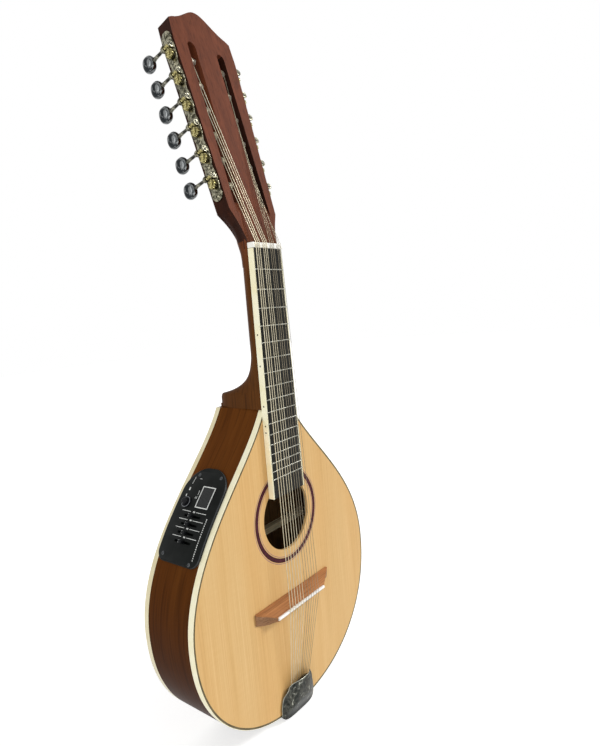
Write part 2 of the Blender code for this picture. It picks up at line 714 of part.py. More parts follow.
def comb_floor(index):
    """Depth of the notch that holds a string on the tailpiece."""
    return -(FIT + COMB_HEIGHT - COMB_NOTCH_DEPTH)


def string_points(index, carriers):
    """Route of a string from the tailpiece over saddle and nut, and round its roller."""
    radius = string_radius(index)
    count = COURSES * STRINGS_PER_COURSE
    clear = radius + FIT
    tail_x = (index - (count - 1) / 2) * TAIL_STRING_PITCH
    tail = tailpiece_place()
    comb_y = comb_floor(index) - clear
    saddle_x = string_x(index, SADDLE_COURSE_PITCH, SADDLE_STRING_PITCH)
    nut_x = string_x(index, NUT_COURSE_PITCH, NUT_STRING_PITCH)
    points = [tail @ Vector((tail_x, comb_y, COMB_Z - COMB_THICKNESS - STRING_TAIL)),
              tail @ Vector((tail_x, comb_y, COMB_Z + MM)),
              Vector((saddle_x, -SADDLE_HEIGHT - clear, saddle_z(saddle_x))),
              Vector((nut_x, -NUT_HEIGHT - clear, 0.5 * MM)),
              Vector((nut_x, -NUT_HEIGHT - clear, NUT_LENGTH))]
    side = -1 if index < TUNERS_PER_SIDE else 1
    place_in_row = index if side < 0 else count - 1 - index
    turn_radius = (ROLLER_RADIUS + clear) / math.cos(math.pi / WINDING_POINTS)
    pitch = 2 * radius + COIL_GAP
    v = TUNER_PITCH * place_in_row
    half = head_half_width(FIRST_ROLLER_T + v)
    spool_u = SPOOL_X[place_in_row] - half
    to_world = carriers[side].matrix_world
    coil = []
    for i in range(int(WINDING_TURNS * WINDING_POINTS) + 1):
        angle = 2 * math.pi * i / WINDING_POINTS
        u = spool_u - pitch * i / WINDING_POINTS
        coil.append(to_world @ Vector((side * u, ROLLER_N - turn_radius * math.cos(angle),
                                       v + turn_radius * math.sin(angle))))
    return points, coil


def least_gap(coil, radius):
    """The smallest clear distance between the turns of a winding."""
    best = math.inf
    for i, first in enumerate(coil):
        for second in coil[i + WINDING_POINTS - 2:]:
            best = min(best, (first - second).length - 2 * radius)
    return best


def make_strings(carriers, finish):
    """Twelve strings, each one unbroken tube from the tailpiece to its roller."""
    gaps = []
    for index in range(COURSES * STRINGS_PER_COURSE):
        name = f"string_{index + 1:02d}"
        line, coil = string_points(index, carriers)
        gaps.append(least_gap(coil, string_radius(index)))
        curve = bpy.data.curves.new(name, "CURVE")
        curve.dimensions = "3D"
        curve.bevel_depth = string_radius(index)
        curve.bevel_resolution = 1
        curve.use_fill_caps = True
        route = line + coil
        spline = curve.splines.new("POLY")
        spline.points.add(len(route) - 1)
        for point, target in zip(spline.points, route):
            point.co = (*target, 1.0)
        curve.materials.append(finish)
        item = bpy.data.objects.new(name, curve)
        bpy.context.scene.collection.objects.link(item)
    print(f"least gap between turns on the rollers: {min(gaps) / MM:.2f} mm")


def make_bridge(wood, bone):
    """Floating bridge with thin wings and a slot, and the saddle in it."""
    carrier = frame("bridge_frame", (BRIDGE_SHIFT, -FIT, -SCALE_LENGTH - SADDLE_SETBACK),
                    (0, BRIDGE_SKEW, 0))
    rings = []
    stations = ((-BRIDGE_HALF_LENGTH, BRIDGE_TIP_HEIGHT, 0), (-BRIDGE_CREST_HALF, BRIDGE_HEIGHT, 1),
                (BRIDGE_CREST_HALF, BRIDGE_HEIGHT, 1), (BRIDGE_HALF_LENGTH, BRIDGE_TIP_HEIGHT, 0))
    for x, height, full in stations:
        nut_edge = BRIDGE_LAND if full else BRIDGE_NUT_SIDE
        tail_edge = -BRIDGE_LAND if full else BRIDGE_NUT_SIDE - BRIDGE_TIP_RIDGE
        tail_foot = -BRIDGE_TAIL_SIDE * full
        rings.append([(x, 0, BRIDGE_NUT_SIDE), (x, -BRIDGE_TOE, BRIDGE_NUT_SIDE),
                      (x, -height, nut_edge), (x, -height, tail_edge),
                      (x, -BRIDGE_TOE, tail_foot), (x, 0, tail_foot)])
    bridge = place("bridge", loft_mesh("bridge", rings), wood, carrier)
    floor = -BRIDGE_HEIGHT + SADDLE_SLOT_DEPTH
    half = SADDLE_THICKNESS / 2 + FIT
    slot = box_mesh("saddle_slot", (-SADDLE_HALF_LENGTH - FIT, floor - 10 * MM, -half),
                    (SADDLE_HALF_LENGTH + FIT, floor, half))
    combine(bridge, place("saddle_slot_tool", slot, parent=carrier), "DIFFERENCE")
    crown = 0.8 * MM
    base = floor - FIT
    top = -SADDLE_HEIGHT + FIT
    section = ((base, -SADDLE_THICKNESS / 2), (top + crown, -SADDLE_THICKNESS / 2),
               (top, -SADDLE_THICKNESS / 4), (top, SADDLE_THICKNESS / 4),
               (top + crown, SADDLE_THICKNESS / 2), (base, SADDLE_THICKNESS / 2))
    saddle = prism_mesh("saddle", section, -SADDLE_HALF_LENGTH, SADDLE_HALF_LENGTH,
                        lambda a, b, c: (c, a, b))
    place("saddle", saddle, bone, carrier)


def make_nut(bone):
    """Nut, with its top sloping down to the headstock."""
    section = ((-FIT, 0), (-NUT_HEIGHT, 0), (-NUT_HEIGHT, NUT_LENGTH * 0.6),
               (-NUT_HEIGHT + 0.6 * MM, NUT_LENGTH), (-FIT, NUT_LENGTH))
    half = NUT_WIDTH / 2
    place("nut", prism_mesh("nut", section, -half, half, lambda a, b, c: (c, a, b)), bone)


def cover_corner(across):
    """How far the cover's ends are drawn in at a place across it, -1 to 1."""
    return COVER_CORNER * abs(across) ** 8


def make_tailpiece(metal, dark_metal):
    """Folded base plate with a notched comb for the strings, and its arched cover."""
    half = TAIL_PLATE_HALF_WIDTH
    front = -FIT
    outer = front - TAIL_PLATE_THICKNESS
    end = BODY_TAIL_Z - FIT
    low = end - TAIL_PLATE_THICKNESS
    start = BODY_TAIL_Z + TAIL_PLATE_LENGTH
    section = ((front, start), (outer, start), (outer, low), (TAIL_PLATE_DROP, low),
               (TAIL_PLATE_DROP, end), (front, end))
    upright = tailpiece_place()
    carrier = frame("tailpiece_frame", upright.to_translation(), upright.to_euler())
    base = place("tailpiece_base", prism_mesh("tail_base", section, -half, half,
                                              lambda a, b, c: (c, a, b)), metal, carrier)
    count = COURSES * STRINGS_PER_COURSE
    top = front - COMB_HEIGHT
    comb_half = half - COMB_STEP
    edge = [(-comb_half, outer + 0.5 * MM), (-comb_half, top)]
    for index in range(count):
        x = (index - (count - 1) / 2) * TAIL_STRING_PITCH
        gap = string_radius(index) + COMB_NOTCH_CLEAR
        floor = comb_floor(index)
        edge += [(x - gap, top), (x - gap, floor), (x + gap, floor), (x + gap, top)]
    edge += [(comb_half, top), (comb_half, outer + 0.5 * MM)]
    comb = prism_mesh("comb", edge, COMB_Z - COMB_THICKNESS, COMB_Z, lambda a, b, c: (a, b, c))
    combine(base, place("comb_tool", comb, parent=carrier), "UNION")

    rings = []
    steps = 10
    fold = low - FIT - COVER_THICKNESS
    length = COVER_TOP_Z - fold - MM
    for share, spread, crown in ((0.0, 0.0, 1.0), (0.2, 0.42, 1.0), (0.43, 0.8, 0.85),
                                 (0.69, 1.0, 0.6), (1.0, 0.97, 0.3)):
        width = COVER_MOUTH_HALF + (COVER_END_HALF - COVER_MOUTH_HALF) * spread
        outside = []
        inside = []
        for i in range(steps + 1):
            across = 2 * i / steps - 1
            y = -COVER_EDGE_HEIGHT - COVER_CROWN * crown * (1 - abs(across) ** 3)
            z = COVER_TOP_Z - length * share + cover_corner(across) * (2 * share - 1)
            outside.append((width * across, y, z))
            inside.append((width * across, y + COVER_THICKNESS, z))
        rings.append(outside + inside[::-1])
    lip = []
    for i in range(steps + 1):
        across = 2 * i / steps - 1
        y = COVER_LIP * (1 - 0.55 * across * across)
        lip.append((COVER_END_HALF * 0.9 * across, y, fold + cover_corner(across) * 0.4))
    last = rings[-1]
    outside = [(x, y, z - MM) for x, y, z in last[:steps + 1]]
    inside = [(x, y, z - MM + COVER_THICKNESS) for x, y, z in last[steps + 1:]]
    rings[-1] = last[:steps + 1] + [(x, y, z + MM) for x, y, z in last[steps + 1:]]
    rings.append(outside + inside)
    rings.append(lip + [(x, y, z + COVER_THICKNESS) for x, y, z in lip[::-1]])
    place("tailpiece_cover", loft_mesh("cover", rings), dark_metal, carrier)


def make_braces(outline, spruce):
    """Lattices of bars glued inside the soundboard and the back."""
    top_face = SOUNDBOARD_THICKNESS + FIT
    half = BRACE_WIDTH / 2
    first = TOP_BRACE_Z[0]
    reach = TOP_BRACE_X + half
    low = (-reach, top_face, first - half)
    frame_mesh = box_mesh("top_bar", low, (reach, top_face + BRACE_HEIGHT, first + half))
    braces = place("top_braces", frame_mesh, spruce)
    for z in TOP_BRACE_Z[1:]:
        reach = outline.half_width(z) - BRACE_SHORT
        bar = box_mesh("bar", (-reach, top_face, z - half), (reach, top_face + BRACE_HEIGHT, z + half))
        combine(braces, place("top_bar_tool", bar), "UNION")
    for side in (-1, 1):
        x = side * TOP_BRACE_X
        rail = box_mesh("rail", (x - half, top_face, TOP_BRACE_Z[-1]),
                        (x + half, top_face + BRACE_HEIGHT * 0.8, TOP_BRACE_Z[0]))
        combine(braces, place("top_rail_tool", rail), "UNION")

    back_face = BODY_DEPTH - BACK_THICKNESS - FIT
    strip = box_mesh("strip",
                     (-BACK_STRIP_HALF_WIDTH, back_face - BACK_STRIP_THICKNESS, BACK_STRIP_END_Z),
                     (BACK_STRIP_HALF_WIDTH, back_face, BACK_STRIP_TOP_Z))
    braces = place("back_braces", strip, spruce)
    for z in BACK_BRACE_Z:
        reach = outline.half_width(z) - BRACE_SHORT
        bar = box_mesh("bar", (-reach, back_face - BRACE_HEIGHT, z - half), (reach, back_face, z + half))
        combine(braces, place("back_bar_tool", bar), "UNION")


def panel_frame(outline):
    """A frame on the bass-side rim at the panel's middle: x inwards, y back, z up the rim."""
    (x, z), direction, inward = outline.at(PANEL_START + PANEL_LENGTH / 2)
    inward_world = Vector((-inward[0], 0, inward[1]))
    along_world = Vector((direction[0], 0, -direction[1]))
    back_world = Vector((0, 1, 0))
    turn = Matrix((inward_world, back_world, along_world)).transposed().to_euler()
    return frame("panel_frame", (-x, 0, z), turn)


def make_preamp(outline, rim, plastic, knob_finish):
    """Preamp panel bent to the rim, with its box inside, a knob and four sliders."""
    carrier = panel_frame(outline)
    rings = []
    middle = PANEL_Y + PANEL_WIDTH / 2
    for i in range(PANEL_STEPS + 1):
        share = i / PANEL_STEPS
        eased = 0.5 - 0.5 * math.cos(math.pi * share)
        along = PANEL_LENGTH * eased
        from_end, radius = min((along, PANEL_CORNERS[0]), (PANEL_LENGTH - along, PANEL_CORNERS[1]))
        missing = radius - math.sqrt(radius ** 2 - max(0.0, radius - from_end) ** 2)
        half = PANEL_WIDTH / 2 - missing
        ring = []
        for depth, y in ((-FIT, middle - half), (-FIT, middle + half),
                         (-FIT - PANEL_THICKNESS, middle + half), (-FIT - PANEL_THICKNESS, middle - half)):
            x, z = outline.inset(PANEL_START + along, depth, -1)
            ring.append((x, y, z))
        rings.append(ring)
    preamp = place("preamp", loft_mesh("panel", rings), plastic)
    half_length = BOX_LENGTH / 2
    low = middle - BOX_WIDTH / 2
    high = middle + BOX_WIDTH / 2
    box = box_mesh("preamp_box", (-1.0 * MM, low, -half_length), (BOX_DEPTH, high, half_length))
    combine(preamp, place("preamp_box_tool", box, parent=carrier), "UNION")
    opening = box_mesh("preamp_opening", (-12 * MM, low - BOX_CLEARANCE, -half_length - BOX_CLEARANCE),
                       (LINING_DEPTH + 8 * MM, high + BOX_CLEARANCE, half_length + BOX_CLEARANCE))
    combine(rim, place("preamp_opening_tool", opening, parent=carrier), "DIFFERENCE")

    def panel_point(along):
        return outline.at(PANEL_START + along)

    def control_frame(name, along, y):
        (x, z), direction, inward = panel_point(along)
        axes = Matrix((Vector((-direction[0], 0, direction[1])), Vector((0, 1, 0)),
                       Vector((inward[0], 0, -inward[1]))))
        outward = Vector((inward[0], 0, -inward[1]))
        up_rim = Vector((direction[0], 0, -direction[1]))
        axes = Matrix((up_rim, outward.cross(up_rim), outward)).transposed()
        return frame(name, (-x, y, z), axes.to_euler())

    surface = FIT + PANEL_THICKNESS
    knob_frame = control_frame("knob_frame", KNOB_ALONG, KNOB_Y)
    profile = ((surface - SLOT_DEPTH + FIT, KNOB_STEM_RADIUS), (surface + FIT, KNOB_STEM_RADIUS),
               (surface + FIT, KNOB_RADIUS), (surface + KNOB_HEIGHT * 0.8, KNOB_RADIUS * 0.95),
               (surface + KNOB_HEIGHT, KNOB_RADIUS * 0.8))
    knob = turned_mesh("knob", profile, 20, lambda a, b, c: (a, b, c))
    place("volume_knob", knob, knob_finish, knob_frame)
    well = turned_mesh("knob_well", ((surface - SLOT_DEPTH, KNOB_STEM_RADIUS + RUNNING),
                                     (surface + 6 * MM, KNOB_STEM_RADIUS + RUNNING)), 20, lambda a, b, c: (a, b, c))
    combine(preamp, place("knob_well_tool", well, parent=knob_frame), "DIFFERENCE")

    cap_along, cap_across, cap_height = SLIDER_CAP
    stem_along, stem_across = SLIDER_STEM
    for i in range(SLIDER_COUNT):
        rest = control_frame(f"slider_frame_{i + 1}", SLIDER_ALONG + SLIDER_PITCH * i, SLIDER_Y)
        slider_rings = []
        for height, a, b in ((surface - SLOT_DEPTH + FIT, stem_along, stem_across),
                             (surface + FIT, stem_along, stem_across), (surface + FIT, cap_along, cap_across),
                             (surface + cap_height, cap_along * 0.7, cap_across * 0.85)):
            slider_rings.append([(-a / 2, -b / 2, height), (a / 2, -b / 2, height),
                                 (a / 2, b / 2, height), (-a / 2, b / 2, height)])
        place(f"eq_slider_{i + 1}", loft_mesh(f"slider_{i + 1}", slider_rings), knob_finish, rest)
        half_a = stem_along / 2 + RUNNING
        half_b = stem_across / 2 + SLIDER_TRAVEL + RUNNING
        groove = box_mesh("groove", (-half_a, -half_b, surface - SLOT_DEPTH), (half_a, half_b, surface + 6 * MM))
        combine(preamp, place(f"groove_tool_{i + 1}", groove, parent=rest), "DIFFERENCE")
    return preamp


def make_jack(rim, metal, wood):
    """Output jack through the tail, and the block inside that backs it."""
    face = BODY_TAIL_Z - FIT

    def at(a, b, height):
        return a, JACK_Y + b, face + height

    profile = ((-JACK_FLANGE_THICKNESS, JACK_FLANGE_RADIUS * 0.85), (-JACK_FLANGE_THICKNESS * 0.5, JACK_FLANGE_RADIUS),
               (0, JACK_FLANGE_RADIUS), (0, JACK_BARREL_RADIUS), (JACK_LENGTH, JACK_BARREL_RADIUS))
    jack = place("output_jack", turned_mesh("jack", profile, 20, at), metal)
    bore = turned_mesh("jack_bore", ((-JACK_FLANGE_THICKNESS - MM, JACK_BORE_RADIUS),
                                     (JACK_BORE_DEPTH - JACK_FLANGE_THICKNESS, JACK_BORE_RADIUS)), 16, at)
    combine(jack, place("jack_bore_tool", bore), "DIFFERENCE")
    opening = turned_mesh("jack_opening", ((-5 * MM, JACK_BARREL_RADIUS + FIT),
                                           (JACK_LENGTH + 5 * MM, JACK_BARREL_RADIUS + FIT)), 20, at)
    combine(rim, place("jack_opening_tool", opening), "DIFFERENCE")
    inner = BODY_TAIL_Z + BINDING_WIDTH + FIT + LINING_DEPTH + 2.5 * MM
    block = box_mesh("tail_block", (-TAIL_BLOCK_HALF_WIDTH, SOUNDBOARD_THICKNESS + FIT, inner),
                     (TAIL_BLOCK_HALF_WIDTH, BODY_DEPTH - BACK_THICKNESS - FIT, inner + TAIL_BLOCK_LENGTH))
    tail_block = place("tail_block", block, wood)
    opening = turned_mesh("block_opening", ((-5 * MM, JACK_BARREL_RADIUS + FIT),
                                            (JACK_LENGTH + 5 * MM, JACK_BARREL_RADIUS + FIT)), 20, at)
    combine(tail_block, place("block_opening_tool", opening), "DIFFERENCE")


def make_body(outline, woods):
    """Soundboard, back, rim and their bindings."""
    spruce, mahogany, cream = woods
    inner = BINDING_WIDTH + FIT
    soundboard = place("soundboard", plate_mesh("soundboard", outline, inner, 0, SOUNDBOARD_THICKNESS), spruce)
    hole = turned_mesh("sound_hole", ((-5 * MM, SOUND_HOLE_RADIUS), (8 * MM, SOUND_HOLE_RADIUS)), 36,
                       lambda a, b, c: (a, c, SOUND_HOLE_Z + b))
    combine(soundboard, place("sound_hole_tool", hole), "DIFFERENCE")
    place("back_plate", plate_mesh("back_plate", outline, inner, BODY_DEPTH - BACK_THICKNESS, BODY_DEPTH), mahogany)
    rim = place("rim", strip_mesh("rim", outline, rim_section), mahogany)
    place("binding_front", strip_mesh("binding_front", outline, binding_section(0)), cream)
    back_low = BODY_DEPTH - BINDING_HEIGHT
    place("binding_back", strip_mesh("binding_back", outline, binding_section(back_low)), cream)
    return rim


def main():
    clear_scene()
    outline = Outline()
    spruce = material("spruce", (0.72, 0.47, 0.20), 0.38)
    mahogany = material("mahogany", (0.09, 0.03, 0.012), 0.3)
    neck_wood = material("neck_wood", (0.20, 0.065, 0.035), 0.35)
    cream = material("cream_binding", (0.86, 0.80, 0.52), 0.3)
    ebony = material("fretboard_wood", (0.02, 0.02, 0.02), 0.45)
    bone = material("bone", (0.9, 0.88, 0.8), 0.3)
    bridge_wood = material("bridge_wood", (0.42, 0.18, 0.07), 0.45)
    brass = material("brass", (0.55, 0.45, 0.22), 0.3, 1.0)
    nickel = material("nickel", (0.55, 0.54, 0.5), 0.25, 1.0)
    dark_chrome = material("dark_chrome", (0.35, 0.35, 0.36), 0.15, 1.0)
    steel = material("string_steel", (0.6, 0.55, 0.45), 0.3, 1.0)
    plastic = material("black_plastic", (0.015, 0.015, 0.017), 0.35)
    grey_plastic = material("grey_plastic", (0.05, 0.05, 0.055), 0.4)

    rim = make_body(outline, (spruce, mahogany, cream))
    head = frame("headstock_frame", (0, -HEAD_DROP, 0), (-HEAD_TILT, 0, 0))
    neck = make_neck(neck_wood, head)
    for side in (-1, 1):
        make_tuners(side, head, neck, (dark_chrome, brass, nickel))
    place("fretboard", fretboard_mesh(), ebony)
    make_nut(bone)
    make_bridge(bridge_wood, bone)
    make_tailpiece(nickel, dark_chrome)
    make_braces(outline, spruce)
    make_preamp(outline, rim, plastic, grey_plastic)
    make_jack(rim, nickel, mahogany)
    bpy.context.view_layer.update()
    carriers = {-1: bpy.data.objects["bass_side"], 1: bpy.data.objects["treble_side"]}
    make_strings(carriers, steel)


main()
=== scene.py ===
"""Looks of the twelve-string mandolin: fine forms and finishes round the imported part.

The sizes repeat the part's own; everything is in metres in the part's frame, with the
headstock up (+Z) and the soundboard facing -Y.
"""
import math

import bmesh
import bpy
import numpy as np
from mathutils import Matrix, Vector


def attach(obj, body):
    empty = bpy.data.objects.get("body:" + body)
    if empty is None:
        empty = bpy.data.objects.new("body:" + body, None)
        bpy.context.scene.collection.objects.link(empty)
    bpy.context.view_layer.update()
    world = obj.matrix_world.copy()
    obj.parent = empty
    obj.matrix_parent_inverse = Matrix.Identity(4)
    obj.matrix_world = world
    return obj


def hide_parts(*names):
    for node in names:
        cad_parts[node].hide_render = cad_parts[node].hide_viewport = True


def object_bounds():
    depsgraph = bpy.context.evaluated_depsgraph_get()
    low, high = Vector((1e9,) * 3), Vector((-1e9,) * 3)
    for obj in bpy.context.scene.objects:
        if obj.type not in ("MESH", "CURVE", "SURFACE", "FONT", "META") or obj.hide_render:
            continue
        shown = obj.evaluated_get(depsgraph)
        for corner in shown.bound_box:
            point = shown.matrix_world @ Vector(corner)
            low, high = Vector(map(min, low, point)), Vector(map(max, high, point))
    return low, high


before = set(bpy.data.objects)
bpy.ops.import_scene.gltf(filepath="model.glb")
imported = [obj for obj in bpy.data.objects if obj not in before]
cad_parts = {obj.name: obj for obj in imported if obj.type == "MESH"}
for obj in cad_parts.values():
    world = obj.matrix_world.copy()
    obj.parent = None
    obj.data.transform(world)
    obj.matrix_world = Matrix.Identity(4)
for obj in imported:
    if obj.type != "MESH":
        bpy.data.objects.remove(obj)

CAD_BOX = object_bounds()

MM = 0.001
ROOT = "instrument"


def mm(*values):
    """Millimetres as metres: numbers, or rows of them."""
    return tuple(mm(*value) if isinstance(value, tuple) else value * MM for value in values)


# Sizes that the part has too
SCALE_LENGTH = 352 * MM
FRET_COUNT = 17
NUT_WIDTH = 42 * MM
NUT_LENGTH = 5 * MM
NUT_HEIGHT = 7.7 * MM
BOARD_END_WIDTH = 48.6 * MM
BOARD_LENGTH = 239 * MM
BOARD_UNDERSIDE = -0.3 * MM
BOARD_THICKNESS = 6 * MM
FRET_HEIGHT = 1.0 * MM
FRET_WIDTH = 1.5 * MM       # crown; the part takes its tang room too
FIT = 0.3 * MM
BODY_HALF_WIDTH = 134.2 * MM
BODY_WAIST_Z = -337.5 * MM
BODY_TAIL_Z = -463.4 * MM
BODY_NECK = mm(20, -152)
SHOULDER_RISE = 81 * MM
SHOULDER_HANDLE = mm(50, -206.5)
TAIL_SQUARENESS = 2.18
BODY_DEPTH = 65 * MM
PLATE_THICKNESS = 2.8 * MM
RIM_WALL = 2.5 * MM
LINING_DEPTH = 4.5 * MM
BINDING_WIDTH = 2.5 * MM
BINDING_FACE = 1.5 * MM     # what shows of it from the front, with the dark line let in
BINDING_HEIGHT = 6 * MM
SOUND_HOLE_RADIUS = 34.8 * MM
SOUND_HOLE_Z = -263 * MM
HEAD_TILT = math.radians(14.6)
HEAD_DROP = 3 * MM
HEAD_THICKNESS = 16.5 * MM
HEAD_CORNER = mm(32.9, 38)
HEAD_SHOULDER = mm(40.3, 203)
HEAD_TIP_T = 243 * MM
SLOT_CENTRE_X = 19 * MM
SLOT_RADIUS = 5 * MM
SLOT_ENDS = mm(45, 206)
TUNERS_PER_SIDE = 6
TUNER_PITCH = 25.3 * MM
FIRST_ROLLER_T = 63.5 * MM
GEAR_DISTANCE = 7 * MM
ROLLER_N = 7 * MM
ROLLER_RADIUS = 2.75 * MM
ROLLER_BORE = 3.1 * MM
ROLLER_REACH = 28.5 * MM
SHAFT_U = 4.4 * MM
WORM_LENGTH = 6.6 * MM
BUTTON_N = 35 * MM
BUTTON_HALF = mm(5.0, 7.4, 7.7)
BRIDGE_PLACE = mm(-2, -0.3, -352.5)
BRIDGE_SKEW = math.radians(1.6)
SADDLE_TOP_Y = -13 * MM
TAILPIECE_SHIFT = -11.5 * MM
TAILPIECE_SKEW = math.radians(4)
PANEL_START = 65 * MM
PANEL_LENGTH = 90 * MM
PANEL_WIDTH = 54 * MM
PANEL_FACE = 2.3 * MM       # out from the rim
PANEL_CORNERS = mm(25, 10)
BOX_LENGTH = 66 * MM
BOX_WIDTH = 42 * MM
JACK_Y = 44 * MM
NUT_PITCHES = mm(10.3, 2.6)      # of the courses, and of the strings in a course
SADDLE_PITCHES = mm(13, 4.3)
TAIL_PITCH = 2.5 * MM
STRING_RADII = mm(0.36, 0.30, 0.24, 0.20)
# How far out each string meets its roller, from the lowest tuner up
SPOOLS = mm(17.6, 18.2, 18.8, 20.2, 20.9, 21.4)


# ---------------------------------------------------------------- finishes

def srgb(red, green, blue):
    """A colour as the photo shows it, 0 to 255, as linear light; the finishes below take such colours."""
    def linear(value):
        value /= 255
        return value / 12.92 if value <= 0.04045 else ((value + 0.055) / 1.055) ** 2.4
    return linear(red), linear(green), linear(blue), 1.0


class Finish:
    """A material built up from nodes that read the piece's own coordinates."""

    def __init__(self, name, roughness=0.4, metallic=0.0, coat=0.0, specular=0.5):
        self.made = bpy.data.materials.new(name)
        self.made.use_nodes = True
        self.tree = self.made.node_tree
        self.shader = self.tree.nodes["Principled BSDF"]
        self.shader.inputs["Roughness"].default_value = roughness
        self.shader.inputs["Metallic"].default_value = metallic
        self.shader.inputs["Coat Weight"].default_value = coat
        self.shader.inputs["Coat Roughness"].default_value = 0.12
        self.shader.inputs["Specular IOR Level"].default_value = specular
        self.place = self.tree.nodes.new("ShaderNodeTexCoord").outputs["Object"]
        self.last_bump = None

    def node(self, kind, links=None, **values):
        made = self.tree.nodes.new(kind)
        for key, value in values.items():
            setattr(made, key, value)
        for key, source in (links or {}).items():
            if hasattr(source, "node"):
                self.tree.links.new(source, made.inputs[key])
            else:
                made.inputs[key].default_value = source
        return made

    def noise(self, scale, detail=3.0, roughness=0.55, distortion=0.0):
        """Noise in coordinates multiplied by three factors."""
        stretched = self.node("ShaderNodeMapping", {"Vector": self.place, "Scale": scale}).outputs["Vector"]
        made = self.node("ShaderNodeTexNoise", {
            "Vector": stretched, "Scale": 1.0, "Detail": detail, "Roughness": roughness,
            "Distortion": distortion})
        return made.outputs["Fac"]

    def ramp(self, source, *stops):
        """Colours or greys at places along a value from 0 to 1."""
        made = self.node("ShaderNodeValToRGB", {"Fac": source})
        band = made.color_ramp
        while len(band.elements) < len(stops):
            band.elements.new(0.5)
        for element, (place, colour) in zip(band.elements, stops):
            element.position = place
            element.color = colour if hasattr(colour, "__len__") else (colour, colour, colour, 1)
        return made.outputs["Color"]

    def math(self, operation, first, second=0.5):
        made = self.node("ShaderNodeMath", {0: first, 1: second}, operation=operation)
        return made.outputs["Value"]

    def mix(self, share, first, second, blend="MIX"):
        made = self.node("ShaderNodeMix", {}, data_type="RGBA", blend_type=blend)
        for key, source in ((0, share), (6, first), (7, second)):
            if hasattr(source, "node"):
                self.tree.links.new(source, made.inputs[key])
            else:
                made.inputs[key].default_value = source
        return made.outputs[2]

    def colour(self, source):
        self.tree.links.new(source, self.shader.inputs["Base Color"])
        return self

    def rough(self, source, low, high):
        made = self.node("ShaderNodeMapRange", {"Value": source, "To Min": low, "To Max": high})
        self.tree.links.new(made.outputs["Result"], self.shader.inputs["Roughness"])
        return self

    def bump(self, source, strength, distance):
        links = {"Height": source, "Strength": strength, "Distance": distance}
        if self.last_bump is not None:
            links["Normal"] = self.last_bump
        self.last_bump = self.node("ShaderNodeBump", links).outputs["Normal"]
        self.tree.links.new(self.last_bump, self.shader.inputs["Normal"])
        return self


def wood(name, light, middle, dark, grain, pores, roughness=0.4, specular=0.12, low=None):
    """Straight-grained wood: grain and pores are stretch factors along x, y and z; low darkens the tone by a
    colour between two heights, which is painted shade on the ribs and a change of the wood's tone on the
    neck.
    """
    made = Finish(name, roughness=roughness, specular=specular)
    light, middle, dark = srgb(*light), srgb(*middle), srgb(*dark)
    broad = made.noise([value * 0.22 for value in grain], detail=4, distortion=0.4)
    fine = made.noise(grain, detail=5, roughness=0.65)
    blend = made.math("ADD", made.math("MULTIPLY", broad, 0.35), made.math("MULTIPLY", fine, 0.65))
    tone = made.ramp(blend, (0.32, dark), (0.5, middle), (0.66, light))
    streak = made.noise(pores, detail=2, roughness=0.5)
    shade = made.ramp(streak, (0.36, 0.72), (0.5, 1.0))
    tone = made.mix(1.0, tone, shade, "MULTIPLY")
    # Darker between two heights: painted shade on the ribs.
    if low is not None:
        start, end, deep = low
        height = made.node("ShaderNodeSeparateXYZ", {"Vector": made.place}).outputs["Z"]
        share = made.node("ShaderNodeMapRange", {"Value": height, "From Min": start, "From Max": end})
        tone = made.mix(share.outputs["Result"], tone, made.mix(1.0, tone, deep, "MULTIPLY"))
    made.colour(tone)
    made.rough(fine, roughness - 0.05, roughness + 0.08)
    made.bump(streak, 0.08, 0.0002)
    return made.made


def make_spruce():
    """Satin spruce: close vertical grain, broader bands and faint silk across it."""
    made = Finish("spruce_top", roughness=0.42, specular=0.2)
    bands = made.noise((34, 1, 1.2), detail=3, distortion=0.3)
    grain = made.noise((900, 20, 7), detail=2, roughness=0.6)
    silk = made.noise((90, 20, 260), detail=2)
    blend = made.math("ADD", made.math("MULTIPLY", bands, 0.42), made.math("MULTIPLY", grain, 0.5))
    blend = made.math("ADD", blend, made.math("MULTIPLY", silk, 0.08))
    tone = made.ramp(blend, (0.3, srgb(203, 158, 98)), (0.44, srgb(217, 176, 115)),
                     (0.56, srgb(223, 185, 126)), (0.72, srgb(232, 200, 146)))
    warm = made.noise((16, 2, 3), detail=2)
    warmth = made.ramp(warm, (0.4, (1, 1, 1, 1)), (0.7, (1.0, 0.94, 0.86, 1)))
    made.colour(made.mix(1.0, tone, warmth, "MULTIPLY"))
    made.rough(grain, 0.36, 0.5)
    made.bump(grain, 0.05, 0.0001)
    return made.made


def plain(name, colour, second, scale, roughness=0.4, metallic=0.0, coat=0.0, bump=0.03,
          specular=0.5):
    """A worked surface in two close tones with a fine bump."""
    made = Finish(name, roughness=roughness, metallic=metallic, coat=coat, specular=specular)
    tone = made.noise((scale, scale, scale), detail=4)
    made.colour(made.ramp(tone, (0.35, srgb(*colour)), (0.65, srgb(*second))))
    made.rough(tone, max(0.02, roughness - 0.06), roughness + 0.08)
    fine = made.noise((scale * 6, scale * 6, scale * 6), detail=2)
    made.bump(fine, bump, 0.0001)
    return made.made


def make_binding(name, dark, light):
    """Cream plastic with faint long streaks, a little yellowed."""
    made = Finish(name, roughness=0.28, coat=0.2)
    streak = made.noise((60, 60, 60), detail=3)
    made.colour(made.ramp(streak, (0.3, srgb(*dark)), (0.7, srgb(*light))))
    made.rough(streak, 0.24, 0.36)
    made.bump(made.noise((500, 500, 500)), 0.03, 0.0001)
    return made.made


def make_ebony():
    """Blackened fingerboard wood with greyish long pores."""
    made = Finish("fingerboard_black", roughness=0.45, specular=0.1)
    grain = made.noise((520, 200, 9), detail=5, roughness=0.7)
    made.colour(made.ramp(grain, (0.34, srgb(18, 18, 16)), (0.52, srgb(33, 33, 30)),
                          (0.68, srgb(62, 62, 56))))
    made.rough(grain, 0.36, 0.55)
    made.bump(grain, 0.25, 0.0002)
    return made.made


